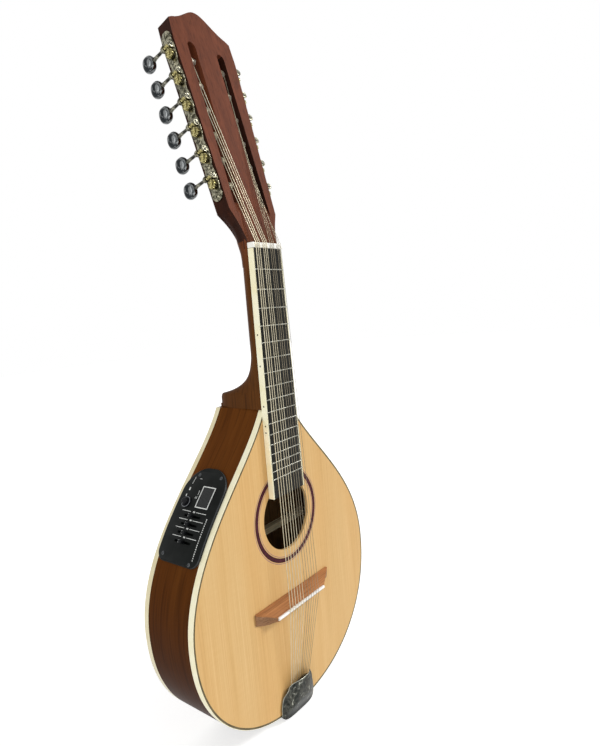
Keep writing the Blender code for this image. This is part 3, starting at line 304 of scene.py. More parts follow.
def make_tail_cover():
    """Darkened plating with a soft mottled pattern; painted shade and a painted dark reflection blacken its
    treble flank near the mouth, and painted shade blackens its fold over the tail.
    """
    made = Finish("pressed_dark_plating", roughness=0.34, metallic=0.6, specular=0.1)
    leaves = made.noise((210, 210, 170), detail=3, roughness=0.5, distortion=1.2)
    fine = made.noise((520, 520, 400), detail=2)
    tone = made.ramp(leaves, (0.34, srgb(40, 44, 42)), (0.5, srgb(66, 68, 64)),
                     (0.62, srgb(84, 86, 80)), (0.72, srgb(170, 172, 162)))
    tone = made.mix(1.0, tone, made.ramp(fine, (0.35, 0.72), (0.62, 1.0)), "MULTIPLY")
    # Painted shade and painted dark reflection: the treble flank near the mouth, picked by the object normal,
    # and the fold over the tail go near-black.
    facing = made.node("ShaderNodeTexCoord").outputs["Normal"]
    across = made.node("ShaderNodeSeparateXYZ", {"Vector": facing}).outputs["X"]
    height = made.node("ShaderNodeSeparateXYZ", {"Vector": made.place}).outputs["Z"]
    upper = made.node("ShaderNodeMapRange", {"Value": height, "From Min": -0.455, "From Max": -0.443})
    fold = made.node("ShaderNodeMapRange",
                     {"Value": height, "From Min": -0.456, "From Max": -0.464, "To Max": 0.6})
    flank = made.math("MULTIPLY", made.ramp(across, (0.24, 0.0), (0.4, 1.0)), upper.outputs["Result"])
    painted_reflection_and_shade = made.math("MAXIMUM", flank, fold.outputs["Result"])
    made.colour(made.mix(painted_reflection_and_shade, tone, srgb(14, 15, 14)))
    bare = made.node("ShaderNodeMapRange", {"Value": painted_reflection_and_shade, "To Min": 0.6, "To Max": 0.0})
    made.tree.links.new(bare.outputs["Result"], made.shader.inputs["Metallic"])
    made.rough(leaves, 0.28, 0.5)
    made.bump(leaves, 0.35, 0.0003)
    return made.made


def make_plated(name, dark, light, roughness=0.22, scale=300, spread=(0.42, 0.62)):
    """Plated metal with dark and bright patches painted into its colour in place of reflections."""
    made = Finish(name, roughness=roughness, metallic=1.0)
    # Patches of painted reflection, dark and bright.
    painted_reflection_and_shade = made.noise((scale, scale, scale), detail=5, roughness=0.6, distortion=0.5)
    made.colour(made.ramp(painted_reflection_and_shade, (spread[0], srgb(*dark)), (spread[1], srgb(*light))))
    made.rough(painted_reflection_and_shade, roughness - 0.08, roughness + 0.15)
    made.bump(made.noise((scale * 4, scale * 4, scale * 4)), 0.05, 0.0001)
    return made.made


def make_wound():
    """Bronze winding, a little uneven in tone; its turns are too fine to show."""
    made = Finish("bronze_winding", roughness=0.38, metallic=0.7)
    turns = made.noise((240, 240, 160), detail=2)
    made.colour(made.ramp(turns, (0.3, srgb(194, 184, 154)), (0.7, srgb(212, 203, 178))))
    made.rough(turns, 0.32, 0.42)
    return made.made


def make_panel_black():
    """Moulded black plastic with a fine spark-eroded texture."""
    made = Finish("moulded_black", roughness=0.42, specular=0.05)
    fine = made.noise((1500, 1500, 1500), detail=2)
    broad = made.noise((80, 80, 80), detail=3)
    made.colour(made.ramp(broad, (0.3, srgb(22, 24, 23)), (0.7, srgb(31, 33, 32))))
    made.rough(fine, 0.36, 0.5)
    made.bump(fine, 0.2, 0.0001)
    return made.made


SPRUCE = make_spruce()
# The ribs darken towards the tail: painted shade.
RIBS = wood("mahogany_ribs", (108, 63, 23), (99, 55, 18), (89, 48, 14),
            (4, 120, 4), (20, 500, 20), roughness=0.38, specular=0.02,
            low=(-0.24, -0.45, (0.12, 0.06, 0.03, 1)))
BACK = wood("mahogany_back", (114, 68, 30), (101, 58, 22), (84, 45, 16),
            (160, 20, 5), (700, 60, 22), roughness=0.38, specular=0.05)
NECK_WOOD = wood("neck_mahogany", (119, 64, 42), (105, 55, 34), (89, 44, 27),
                 (120, 90, 5), (700, 400, 20), roughness=0.42, specular=0.04,
                 low=(0.03, -0.03, (0.64, 0.8, 0.34, 1)))
# A darker copy of the neck wood for the headstock's sides: painted shade.
HEAD_SIDE_SHADE = wood("headstock_side_painted_shade", (58, 30, 20), (48, 25, 17), (40, 20, 14),
                 (120, 90, 5), (700, 400, 20), roughness=0.42, specular=0.04)
BRIDGE_WOOD = wood("bridge_mahogany", (192, 134, 86), (174, 118, 74), (148, 98, 62),
                   (8, 260, 260), (25, 900, 900), roughness=0.5, specular=0.05)
# A greyer copy of the bridge wood for its down-facing tail-side facets and end faces: painted shade.
BRIDGE_SHADED_FLANK = wood("bridge_flank_painted_shade", (176, 134, 102), (156, 118, 88), (134, 100, 74),
                    (8, 260, 260), (25, 900, 900), roughness=0.6, specular=0.05)
# Pale spruce made lighter still, near white: painted light for the braces inside the dark body.
BRACE_WOOD = wood("brace_spruce", (255, 246, 214), (252, 238, 198), (244, 224, 178),
                  (8, 300, 300), (30, 900, 900), roughness=0.7, specular=0.05)
INSIDE = wood("bare_inside_wood", (126, 96, 62), (108, 80, 50), (88, 64, 40),
              (200, 60, 8), (700, 90, 25), roughness=0.7)
PURFLING = plain("purfling_dark", (92, 83, 60), (116, 106, 80), 120,
                 roughness=0.5, specular=0.1)
ROSETTE_DARK = plain("rosette_plum", (58, 22, 30), (82, 36, 46), 260,
                     roughness=0.5, specular=0.1)
ROSETTE_LINE = plain("rosette_mauve", (150, 108, 112), (178, 136, 134), 240,
                     roughness=0.5, specular=0.1)
CREAM = make_binding("cream_celluloid", (248, 239, 196), (254, 250, 222))
# The back binding is the same plastic as the front one; its darker copy is painted shade.
CREAM_BACK = make_binding("cream_celluloid_back", (224, 210, 164), (234, 224, 186))
EBONY = make_ebony()
FRET_METAL = plain("nickel_silver", (140, 140, 130), (168, 168, 158), 90,
                   roughness=0.25, metallic=1.0)
DOT = plain("side_dot_black", (30, 28, 24), (46, 44, 40), 900, roughness=0.4)
BONE = plain("white_bone", (244, 241, 228), (253, 252, 246), 150, roughness=0.3, coat=0.2)
SADDLE_WHITE = plain("white_saddle", (250, 249, 244), (255, 255, 252), 150, roughness=0.3)
# The dark and bright patches of these plated metals, and the dark base of the chrome, are painted
# reflections.
BRASS = make_plated("brass_painted_reflections", (88, 80, 44), (204, 194, 138), scale=420)
NICKEL = make_plated("nickel_painted_reflections", (62, 60, 48), (166, 162, 140), roughness=0.26, scale=420)
CHROME = make_plated("dark_chrome", (42, 45, 47), (172, 175, 175), roughness=0.12, scale=130,
                     spread=(0.48, 0.7))
SHAFT_METAL = make_plated("dull_shaft_plating", (44, 44, 40), (142, 140, 126),
                          roughness=0.25, scale=300)
COVER_BEAD = plain("cover_bead", (130, 132, 124), (164, 166, 156), 200,
                   roughness=0.3, metallic=0.9)
TAIL_METAL = make_tail_cover()
WOUND = make_wound()
STEEL = plain("plain_string_steel", (128, 118, 98), (152, 142, 120), 60,
              roughness=0.3, metallic=0.8, bump=0.0)
POST_STEEL = plain("bright_post", (196, 188, 170), (226, 220, 204), 300,
                   roughness=0.3, metallic=0.4)
PANEL_BLACK = make_panel_black()
CONTROL_BLACK = plain("control_black", (14, 15, 17), (24, 25, 28), 300,
                      roughness=0.35, specular=0.12)
SCREEN = plain("screen_grey", (36, 37, 37), (48, 49, 49), 900,
               roughness=0.2, specular=0.15)
# A lighter copy of the panel black for its small bevel faces: painted highlight.
PANEL_EDGE_HIGHLIGHT = plain("panel_edge_painted_highlight", (44, 47, 49), (58, 61, 63), 700,
                   roughness=0.35, specular=0.2)
PRINT = plain("printed_white", (206, 208, 204), (232, 234, 230), 500, roughness=0.5)
KNOB_RING = plain("knob_ring_grey", (96, 98, 102), (126, 128, 132), 400, roughness=0.4)
SCREW = plain("black_screw", (58, 60, 62), (92, 94, 96), 500, roughness=0.3, metallic=0.8)


# ---------------------------------------------------------------- mesh tools

def oblong(low_a, high_a, low_b, high_b):
    """The corners of a rectangle."""
    return (low_a, low_b), (high_a, low_b), (high_a, high_b), (low_a, high_b)


def circle(radius, steps):
    return [(radius * math.cos(2 * math.pi * i / steps), radius * math.sin(2 * math.pi * i / steps))
            for i in range(steps)]


def half_circle(radius, start, steps):
    """Points on half a circle round the origin, both ends included."""
    return [(radius * math.cos(start + math.pi * i / steps), radius * math.sin(start + math.pi * i / steps))
            for i in range(steps + 1)]


def smooth_step(value):
    value = min(1.0, max(0.0, value))
    return value * value * (3 - 2 * value)


def as_given(a, b, height):
    return a, b, height


def backwards(a, b, height):
    """Heights count to the back of the instrument."""
    return a, height, b


def sideways(a, b, height):
    """Heights count to the treble side."""
    return height, a, b


def inside(world):
    """Places are given in a frame of their own."""
    return lambda a, b, height: world @ Vector((a, b, height))


def finish_piece(name, build, finish, smooth=40):
    """A bmesh as an object in this finish, smooth except at edges sharper than an angle."""
    bmesh.ops.recalc_face_normals(build, faces=build.faces)
    mesh = bpy.data.meshes.new(name)
    build.to_mesh(mesh)
    build.free()
    mesh.shade_smooth()
    mesh.set_sharp_from_angle(angle=math.radians(smooth))
    mesh.materials.append(finish)
    made = bpy.data.objects.new(name, mesh)
    bpy.context.scene.collection.objects.link(made)
    return made


def add_loft(build, rings, closed=False):
    """Skin rings of equal size; close both ends, or join the last ring to the first."""
    rows = [[build.verts.new(point) for point in ring] for ring in rings]
    size = len(rows[0])
    pairs = list(zip(rows, rows[1:]))
    if closed:
        pairs.append((rows[-1], rows[0]))
    for low, high in pairs:
        for i in range(size):
            j = (i + 1) % size
            build.faces.new((low[i], low[j], high[j], high[i]))
    if not closed:
        build.faces.new(rows[0])
        build.faces.new(rows[-1])


def loft(name, rings, finish, closed=False, smooth=40):
    build = bmesh.new()
    add_loft(build, rings, closed)
    return finish_piece(name, build, finish, smooth)


def turned(name, profile, finish, at=as_given, steps=40):
    """A solid of revolution from (height, radius) pairs."""
    rings = [[at(a, b, height) for a, b in circle(radius, steps)] for height, radius in profile]
    return loft(name, rings, finish, smooth=35)


def above(level, *rows):
    """A profile for turned: rows of height and radius in millimetres, over a level."""
    return [(level + height, radius) for height, radius in mm(*rows)]


def prism(name, outline, low, high, finish, at=as_given):
    """An outline drawn out from one height to another."""
    return loft(name, [[at(a, b, height) for a, b in outline] for height in (low, high)], finish)


def tube(name, points, radius, finish, sides=12):
    """A round wire through points, with an even frame from one to the next."""
    rows = []
    normal = None
    for i, point in enumerate(points):
        before = points[max(0, i - 1)]
        after = points[min(len(points) - 1, i + 1)]
        along = (after - before).normalized()
        if normal is None:
            normal = along.orthogonal().normalized()
        normal = (normal - along * normal.dot(along)).normalized()
        other = along.cross(normal)
        rows.append([point + radius * (normal * a + other * b) for a, b in circle(1.0, sides)])
    return loft(name, rows, finish, smooth=60)


def apply_all(piece):
    """Turn a piece's modifiers into its mesh."""
    bpy.context.view_layer.update()
    graph = bpy.context.evaluated_depsgraph_get()
    mesh = bpy.data.meshes.new_from_object(piece.evaluated_get(graph))
    piece.modifiers.clear()
    piece.data = mesh


def combine(piece, others, operation):
    """Join others to a piece, or take them out of it, and remove them."""
    for other in others:
        step = piece.modifiers.new(other.name, "BOOLEAN")
        step.operation = operation
        step.solver = "EXACT"
        step.object = other
    apply_all(piece)
    for other in others:
        bpy.data.objects.remove(other, do_unlink=True)


def cut(piece, *tools):
    combine(piece, tools, "DIFFERENCE")
    piece.data.set_sharp_from_angle(angle=math.radians(35))


def soften(piece, width, angle=35):
    """Break a piece's sharp edges with a small bevel."""
    step = piece.modifiers.new("soften", "BEVEL")
    step.width = width
    step.segments = 2
    step.limit_method = "ANGLE"
    step.angle_limit = math.radians(angle)
    apply_all(piece)
    piece.data.shade_smooth()
    piece.data.set_sharp_from_angle(angle=math.radians(50))


def paint(piece, finish, chosen):
    """Give the faces that a test picks a second finish."""
    piece.data.materials.append(finish)
    for face in piece.data.polygons:
        if chosen(face):
            face.material_index = 1


def merge(name, pieces, finish):
    """Join several pieces of one finish into one object."""
    build = bmesh.new()
    for piece in pieces:
        build.from_mesh(piece.data)
        bpy.data.objects.remove(piece, do_unlink=True)
    return finish_piece(name, build, finish)


def settle(piece, body=ROOT, replaces=(), world=None):
    """Put a finished piece on its body, for the nodes it stands for."""
    if world is not None:
        piece.matrix_world = world
    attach(piece, body)
    if replaces:
        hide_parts(*replaces)


# ---------------------------------------------------------------- body

class Outline:
    """The treble half of the body's outline, read by the length along it from the neck."""

    def __init__(self):
        waist = np.array((BODY_HALF_WIDTH, BODY_WAIST_Z))
        handle = waist + (0, SHOULDER_RISE)
        shoulder = np.array(SHOULDER_HANDLE)
        neck = np.array(BODY_NECK)
        t = np.linspace(0, 1, 480)[:, None]
        upper = ((1 - t) ** 3 * neck + 3 * (1 - t) ** 2 * t * shoulder
                 + 3 * (1 - t) * t ** 2 * handle + t ** 3 * waist)
        angle = np.linspace(0, math.pi / 2, 480)[1:]
        power = 2 / TAIL_SQUARENESS
        across = BODY_HALF_WIDTH * np.clip(np.cos(angle), 0, 1) ** power
        down = BODY_WAIST_Z + (BODY_TAIL_Z - BODY_WAIST_Z) * np.sin(angle) ** power
        self.points = np.vstack((upper, np.column_stack((across, down))))
        steps = np.hypot(*np.diff(self.points, axis=0).T)
        self.lengths = np.concatenate(((0.0,), np.cumsum(steps)))
        self.total = self.lengths[-1]

    def at(self, along):
        """Point, direction and inward normal at a length along the outline."""
        def read(length):
            return np.array((np.interp(length, self.lengths, self.points[:, 0]),
                             np.interp(length, self.lengths, self.points[:, 1])))
        reach = 2 * MM
        step = read(min(self.total, along + reach)) - read(max(0.0, along - reach))
        dx, dz = step / np.hypot(*step)
        if along >= self.total - 1e-9:
            dx, dz = -1.0, 0.0
        return read(along), (dx, dz), (dz, -dx)

    def inset(self, along, depth, side):
        """A point moved inwards by a depth, and level with the neck end at that end."""
        (x, z), _, inward = self.at(along)
        if along <= 1e-9:
            return side * (x + depth / inward[0]), z
        return side * (x + depth * inward[0]), z + depth * inward[1]

    def ring(self, depth, steps=84):
        """Points all round the outline, inset by a depth, from the bass side of the neck."""
        lengths = [self.total * i / steps for i in range(steps + 1)]
        places = [(length, -1) for length in lengths]
        places += [(length, 1) for length in reversed(lengths[:-1])]
        return [self.inset(length, depth, side) for length, side in places]


OUTLINE = Outline()


def strip(name, section, finish):
    """Run a section of (inset, y) points round the body, open at the neck."""
    loops = [OUTLINE.ring(depth) for depth, _ in section]
    levels = [y for _, y in section]
    return loft(name, [[(x, y, z) for (x, z), y in zip(row, levels)] for row in zip(*loops)], finish)


def plate_with_hole(name, depth, low, high, finish, hole):
    """A plate with the body's outline and a round hole."""
    build = bmesh.new()
    outlines = (OUTLINE.ring(depth), [(x, SOUND_HOLE_Z + z) for x, z in circle(hole, 128)])
    faces = []
    for y in (low, high):
        loops = [[build.verts.new((x, y, z)) for x, z in outline] for outline in outlines]
        edges = [build.edges.new(pair) for verts in loops for pair in zip(verts, verts[1:] + verts[:1])]
        bmesh.ops.triangle_fill(build, use_beauty=True, use_dissolve=False, edges=edges)
        faces.append(loops)
    for first, second in zip(*faces):
        for i in range(len(first)):
            j = (i + 1) % len(first)
            build.faces.new((first[i], first[j], second[j], second[i]))
    return finish_piece(name, build, finish)


def ring_inlay(name, inner, outer, finish):
    """A ring let into the soundboard round the hole, and a trace proud of it."""
    section = oblong(inner, outer, -0.05 * MM, 0.4 * MM)
    rings = [[(radius * across, y, SOUND_HOLE_Z + radius * up) for radius, y in section]
             for up, across in circle(1.0, 144)]
    return loft(name, rings, finish, closed=True)


def box_place():
    """Frame of the preamp's box: x into the body, y to the back and z up the rim."""
    (x, z), direction, inward = OUTLINE.at(PANEL_START + PANEL_LENGTH / 2)
    axes = Matrix((Vector((-inward[0], 0, inward[1])), Vector((0, 1, 0)),
                   Vector((direction[0], 0, -direction[1])))).transposed().to_4x4()
    return Matrix.Translation((-x, 0, z)) @ axes


def at_jack(a, b, height):
    """Places round the output jack, with heights into the tail."""
    return a, JACK_Y + b, BODY_TAIL_Z - FIT + height


def make_body():
    inner = BINDING_FACE - 0.05 * MM
    top = plate_with_hole("top_plate", inner, 0.0, PLATE_THICKNESS, SPRUCE, SOUND_HOLE_RADIUS)
    settle(top, replaces=("soundboard",))
    back = prism("back", OUTLINE.ring(inner), BODY_DEPTH - PLATE_THICKNESS, BODY_DEPTH, BACK, backwards)
    paint(back, INSIDE, lambda face: face.normal.y < -0.5)
    settle(back, replaces=("back_plate",))
    line = oblong(-0.4 * MM, 0.4 * MM, BODY_TAIL_Z + 3 * MM, BODY_NECK[1] - MM)
    settle(prism("back_centre_line", line, BODY_DEPTH - MM, BODY_DEPTH + 0.03 * MM, PURFLING, backwards))

    ease = 0.4 * MM
    for name, edge, inwards, finish in (("binding_front", 0.0, 1, CREAM),
                                        ("binding_back", BODY_DEPTH, -1, CREAM_BACK)):
        deep = edge + inwards * BINDING_HEIGHT
        section = ((ease, edge), (BINDING_FACE, edge), (BINDING_FACE, deep), (0, deep),
                   (0, edge + inwards * ease), (0.3 * ease, edge + inwards * 0.3 * ease))
        settle(strip(f"fine_{name}", section, finish), replaces=(name,))
    settle(strip("purfling_line", oblong(*mm(0.55, 2.2, -0.05, 0.5)), PURFLING))

    front = PLATE_THICKNESS + FIT
    rear = BODY_DEPTH - front
    shelf = BINDING_WIDTH + FIT
    ledge = shelf + LINING_DEPTH
    seat = BINDING_HEIGHT + 0.05 * MM
    far_seat = BODY_DEPTH - BINDING_HEIGHT - 0.05 * MM
    section = ((0, seat), (shelf, seat), (shelf, front), (ledge, front), (ledge, front + 9 * MM),
               (RIM_WALL, front + 13 * MM), (RIM_WALL, rear - 13 * MM), (ledge, rear - 9 * MM), (ledge, rear),
               (shelf, rear), (shelf, far_seat), (0, far_seat))
    rim = strip("ribs", section, RIBS)
    middle = BODY_DEPTH / 2
    half = BOX_WIDTH / 2 + MM
    reach = BOX_LENGTH / 2 + MM
    opening = prism("opening", oblong(-12 * MM, 13 * MM, middle - half, middle + half), -reach, reach, RIBS,
                    inside(box_place()))
    cut(rim, opening, turned("jack_opening", mm((-5, 6.3), (39, 6.3)), RIBS, at_jack))
    settle(rim, replaces=("rim",))

    for name, inner, outer, finish in (("rosette_line_inner", 41.6, 42.2, ROSETTE_LINE),
                                       ("rosette_band", 43.1, 47.4, ROSETTE_DARK),
                                       ("rosette_line_outer", 48.3, 48.9, ROSETTE_LINE)):
        settle(ring_inlay(name, inner * MM, outer * MM, finish))


# ---------------------------------------------------------------- neck and board

NECK_DEPTH = 17 * MM
HEEL_START_Z = -98 * MM
HEEL_CAP_Z = -138 * MM
HEEL_DEPTH = 64.4 * MM
HEEL_CORNER = 5.5 * MM
HEAD_FOOT_T = 5.6 * MM
HEAD_NECKLINE = mm((21.4, 5.6), (22.2, 11), (23.3, 15.8), (24.6, 20), (26.5, 25), (28.6, 29.5), (30.9, 34),
                   (32.9, 38))      # half width and place up the head, below the corner
HEAD_CREST = mm((39.2, 19.5), (34.5, 17), (30.5, 15.6), (26, 13.5), (20.5, 10.2), (15, 6.5), (10, 3.2),
                (6, 1.2), (3, 0.3))     # half width and drop from the tip
HEAD = Matrix.Translation((0, -HEAD_DROP, 0)) @ Matrix.Rotation(-HEAD_TILT, 4, "X")
HEAD_RISE = (HEAD_SHOULDER[0] - HEAD_CORNER[0]) / (HEAD_SHOULDER[1] - HEAD_CORNER[1])


def board_half_width(z):
    share = -z / BOARD_LENGTH
    return (NUT_WIDTH + (BOARD_END_WIDTH - NUT_WIDTH) * share) / 2


def fret_z(number):
    return -SCALE_LENGTH * (1 - 2 ** (-number / 12))


def bent(angle, power):
    """A point of a half round, squarer as the power falls."""
    cosine = math.cos(angle)
    return math.copysign(abs(cosine) ** power, cosine), abs(math.sin(angle)) ** power


def neck_ring(z, steps=40):
    """A section of the neck, flat in front and round behind, that turns into the heel."""
    share = min(1.0, max(0.0, (HEEL_START_Z - z) / (HEEL_START_Z - HEEL_CAP_Z)))
    swell = 1 - (1 - share ** 3.3) ** 0.76
    depth = NECK_DEPTH + (HEEL_DEPTH - NECK_DEPTH) * swell
    below = min(HEEL_CORNER, max(0.0, HEEL_CAP_Z + 0.8 * MM - z))
    rounded = math.sqrt(HEEL_CORNER ** 2 - (HEEL_CORNER - below) ** 2)
    depth = min(depth, HEEL_DEPTH - HEEL_CORNER + rounded)
    blend = smooth_step(share)
    power = 2 / (2.3 + (5.5 - 2.3) * blend)
    half = board_half_width(min(z, 0.0))
    ring = []
    for i in range(steps + 1):
        across, back = bent(math.pi * i / steps, power)
        ring.append((half * across * (1 - 0.2 * blend * back), depth * back, z))
    return ring


def head_outline(behind):
    """Outline of the headstock from the face, 0, to the back, 1."""
    half = []
    for x, t in HEAD_NECKLINE:
        share = behind * (HEAD_CORNER[1] - t) / (HEAD_CORNER[1] - HEAD_FOOT_T)
        half.append((x * (1 - 0.22 * share), t + 9 * MM * share))
    half.append(HEAD_SHOULDER)
    half += [(x, HEAD_TIP_T - below) for x, below in HEAD_CREST]
    half.append((0, HEAD_TIP_T))
    return half + [(-x, t) for x, t in reversed(half[:-1])]


def throat_ring(t, steps=24):
    """A section that leads from the round neck into the back of the headstock."""
    full = smooth_step((t + 12 * MM) / (48 * MM))
    neck_half = board_half_width(min(t, 0.0)) * 0.97
    head_half = float(np.interp(t, (HEAD_FOOT_T, 20 * MM, HEAD_CORNER[1]),
                                (20.4 * MM, 23.2 * MM, HEAD_CORNER[0])))
    volute = 4.5 * MM * math.exp(-((t - 8 * MM) / (11 * MM)) ** 2)
    ring = []
    for i in range(steps + 1):
        angle = math.pi * i / steps
        across, back = bent(angle, 2 / 2.3)
        low = Vector((neck_half * across, 4 * MM + (NECK_DEPTH - 4.4 * MM) * back, t))
        across, back = bent(angle, 0.42)
        high = HEAD @ Vector((head_half * across, 4 * MM + (HEAD_THICKNESS - 4.1 * MM) * back, t))
        ring.append(low.lerp(high, full) + Vector((0, volute * math.sin(angle), 0)))
    return ring


def side_frame(side):
    """x points to treble, y back and z up the slanting side of the headstock."""
    half = HEAD_CORNER[0] + HEAD_RISE * (FIRST_ROLLER_T - HEAD_CORNER[1])
    return (HEAD @ Matrix.Translation((side * half, 0, FIRST_ROLLER_T))
            @ Matrix.Rotation(side * math.atan(HEAD_RISE), 4, "Y"))


def make_neck():
    heights = [12 * MM, 0]
    heights += [HEEL_START_Z * i / 8 for i in range(1, 9)]
    heights += [HEEL_START_Z + (HEEL_CAP_Z - HEEL_START_Z) * (i / 22) for i in range(1, 23)]
    heights += [HEEL_CAP_Z - step for step in mm(0.3, 0.7, 1.2, 1.8, 2.6, 3.6, 4.8)]
    heights.append(BODY_NECK[1] + 0.05 * MM)
    neck = loft("neck_blank", [neck_ring(z) for z in heights], NECK_WOOD)
    slab = [[HEAD @ Vector((x, HEAD_THICKNESS * behind, t)) for x, t in head_outline(behind)]
            for behind in (0, 1)]
    throat = [throat_ring(t) for t in mm(-16, -10, -4, 2, 8, 13, 18, 23, 28, 33, 37)]
    foot = prism("neck_foot", oblong(*mm(-15.5, 15.5, 3.1, 61.9)), -182 * MM, -148 * MM, NECK_WOOD)
    combine(neck, (loft("head_slab", slab, NECK_WOOD), foot, loft("throat", throat, NECK_WOOD)), "UNION")

    tools = []
    low, high = SLOT_ENDS
    for side in (-1, 1):
        x = side * SLOT_CENTRE_X
        slot = [(x + a, low + SLOT_RADIUS + b) for a, b in half_circle(SLOT_RADIUS, math.pi, 12)]
        slot += [(x + a, high - SLOT_RADIUS + b) for a, b in half_circle(SLOT_RADIUS, 0.0, 12)]
        tools.append(prism("slot", slot, -2 * MM, HEAD_THICKNESS + 2 * MM, NECK_WOOD,
                           lambda a, b, c: HEAD @ Vector((a, c, b))))
        ramp = ((-2 * MM, low - 14 * MM), (-2 * MM, low + 5 * MM), (3.2 * MM, low + 5 * MM),
                (0, low - 10 * MM))
        tools.append(prism("ramp", ramp, x - 4.9 * MM, x - 4.9 * MM + 9.8 * MM, NECK_WOOD,
                           lambda a, b, c: HEAD @ Vector((c, a, b))))
    cut(neck, *tools)
    tools = []
    for side in (-1, 1):
        carrier = side_frame(side)
        for i in range(TUNERS_PER_SIDE):
            v = TUNER_PITCH * i
            tools.append(turned("bore", ((-29 * MM, ROLLER_BORE), (3 * MM, ROLLER_BORE)), NECK_WOOD,
                                lambda a, b, c: carrier @ Vector((side * c, ROLLER_N + a, v + b)), steps=24))
    cut(neck, *tools)
    # The headstock's sides get the darker copy of the neck wood: painted shade.
    paint(neck, HEAD_SIDE_SHADE, lambda face: (face.center.z > NUT_LENGTH and abs(face.center.x) > SLOT_CENTRE_X
                                         and abs(face.normal.x) > 0.45))
    settle(neck, replaces=("neck",))


def make_fretboard():
    binding = 1.5 * MM
    ease = 0.35 * MM
    top = BOARD_UNDERSIDE - BOARD_THICKNESS
    levels = (-FIT, -BOARD_LENGTH)
    rings = []
    for z in levels:
        half = board_half_width(z) - binding
        rings.append([(-half, BOARD_UNDERSIDE, z), (-half, top, z), (half, top, z),
                      (half, BOARD_UNDERSIDE, z)])
    settle(loft("fingerboard", rings, EBONY), replaces=("fretboard",))
    for side, name in ((-1, "bass"), (1, "treble")):
        rings = []
        for z in levels:
            half = board_half_width(z)
            rings.append([(side * (half - inset), y, z) for inset, y in (
                (binding, BOARD_UNDERSIDE), (0, BOARD_UNDERSIDE), (0, top + ease), (ease, top),
                (binding, top))])
        settle(loft(f"board_binding_{name}", rings, CREAM, smooth=30))

    build = bmesh.new()
    for number in range(1, FRET_COUNT + 1):
        z = fret_z(number)
        rings = []
        for side in (-1, 1):
            x = side * (board_half_width(z) - 0.9 * MM)
            ring = [(x - side * 0.5 * MM * up, top - FRET_HEIGHT * up, z + FRET_WIDTH / 2 * along)
                    for along, up in half_circle(1.0, 0.0, 8)]
            ring += [(x, top + 0.4 * MM, z - FRET_WIDTH / 4), (x, top + 0.4 * MM, z + FRET_WIDTH / 4)]
            rings.append(ring)
        add_loft(build, rings)
    settle(finish_piece("fret_wires", build, FRET_METAL, 60))

    build = bmesh.new()
    middle = BOARD_UNDERSIDE - BOARD_THICKNESS * 0.5
    for number, offset in ((5, 0), (7, 0), (10, 0), (12, -3.2), (12, 3.2)):
        z = (fret_z(number) + fret_z(number - 1)) / 2 + offset * MM
        x = -board_half_width(z)
        add_loft(build, [[(x - proud, middle + a, z + b) for a, b in circle(0.85 * MM, 16)]
                         for proud in mm(-0.3, 0.05)])
    settle(finish_piece("side_dots", build, DOT))


def string_x(index, pitches):
    """A string's place across, from the pitches of the courses and of the strings in one."""
    course, member = divmod(index, 3)
    return (course - 1.5) * pitches[0] + (member - 1) * pitches[1]


def make_nut():
    half = NUT_WIDTH / 2
    ease = 0.5 * MM
    section = [(-FIT, 0), (-NUT_HEIGHT + ease, 0), (-NUT_HEIGHT, ease), (-NUT_HEIGHT, NUT_LENGTH * 0.6),
               (-NUT_HEIGHT + 0.6 * MM, NUT_LENGTH), (-FIT, NUT_LENGTH)]
    nut = prism("string_nut", section, -half, half, BONE, sideways)
    grooves = []
    for index in range(12):
        radius = STRING_RADII[index // 3]
        x = string_x(index, NUT_PITCHES)
        y = -NUT_HEIGHT - FIT - radius + 0.25 * MM
        profile = ((-MM, radius + 0.12 * MM), (NUT_LENGTH + MM, radius + 0.12 * MM))
        grooves.append(turned("groove", profile, BONE, lambda a, b, c: (x + a, y + b, c), steps=12))
    cut(nut, *grooves)
    settle(nut, replaces=("nut",))


# ---------------------------------------------------------------- strings

def tailpiece_place():
    """Place of the tailpiece's own frame, turned with the curve of the tail."""
    seat = Matrix.Translation((TAILPIECE_SHIFT, 0, BODY_TAIL_Z))
    return seat @ Matrix.Rotation(TAILPIECE_SKEW, 4, "Y") @ Matrix.Translation((0, 0, -BODY_TAIL_Z))


def string_route(index):
    """Points of a string from the tailpiece over saddle and nut, and round its roller."""
    radius = STRING_RADII[index // 3]
    clear = radius + FIT
    tail = tailpiece_place()
    tail_x = (index - 5.5) * TAIL_PITCH
    tail_y = -(FIT + 3.3 * MM) - clear
    saddle_x = string_x(index, SADDLE_PITCHES)
    saddle_z = BRIDGE_PLACE[2] - (saddle_x - BRIDGE_PLACE[0]) * math.tan(BRIDGE_SKEW)
    nut_x = string_x(index, NUT_PITCHES)
    line = [tail @ Vector((tail_x, tail_y, -452.6 * MM)), tail @ Vector((tail_x, tail_y, -445 * MM)),
            Vector((saddle_x, SADDLE_TOP_Y - clear, saddle_z)),
            Vector((nut_x, -NUT_HEIGHT - clear, 0.5 * MM)), Vector((nut_x, -NUT_HEIGHT - clear, NUT_LENGTH))]
    side = -1 if index < 6 else 1
    row = index if side < 0 else 11 - index
    carrier = side_frame(side)
    turn = (ROLLER_RADIUS + clear) * 1.012
    v = TUNER_PITCH * row
    start_u = SPOOLS[row] - (HEAD_CORNER[0] + HEAD_RISE * (FIRST_ROLLER_T + v - HEAD_CORNER[1]))
    pitch = 2 * radius + 0.5 * MM
    steps = 32
    for i in range(int(2.25 * steps) + 1):
        angle = 2 * math.pi * i / steps
        line.append(carrier @ Vector((side * (start_u - pitch * i / steps), ROLLER_N - turn * math.cos(angle),
                                      v + turn * math.sin(angle))))
    return line


def make_strings():
    for index in range(12):
        number = f"{index + 1:02d}"
        finish = WOUND if index < 6 else STEEL
        wire = tube(f"wire_{number}", string_route(index), STRING_RADII[index // 3], finish)
        settle(wire, replaces=(f"string_{number}",))


# ---------------------------------------------------------------- tuners

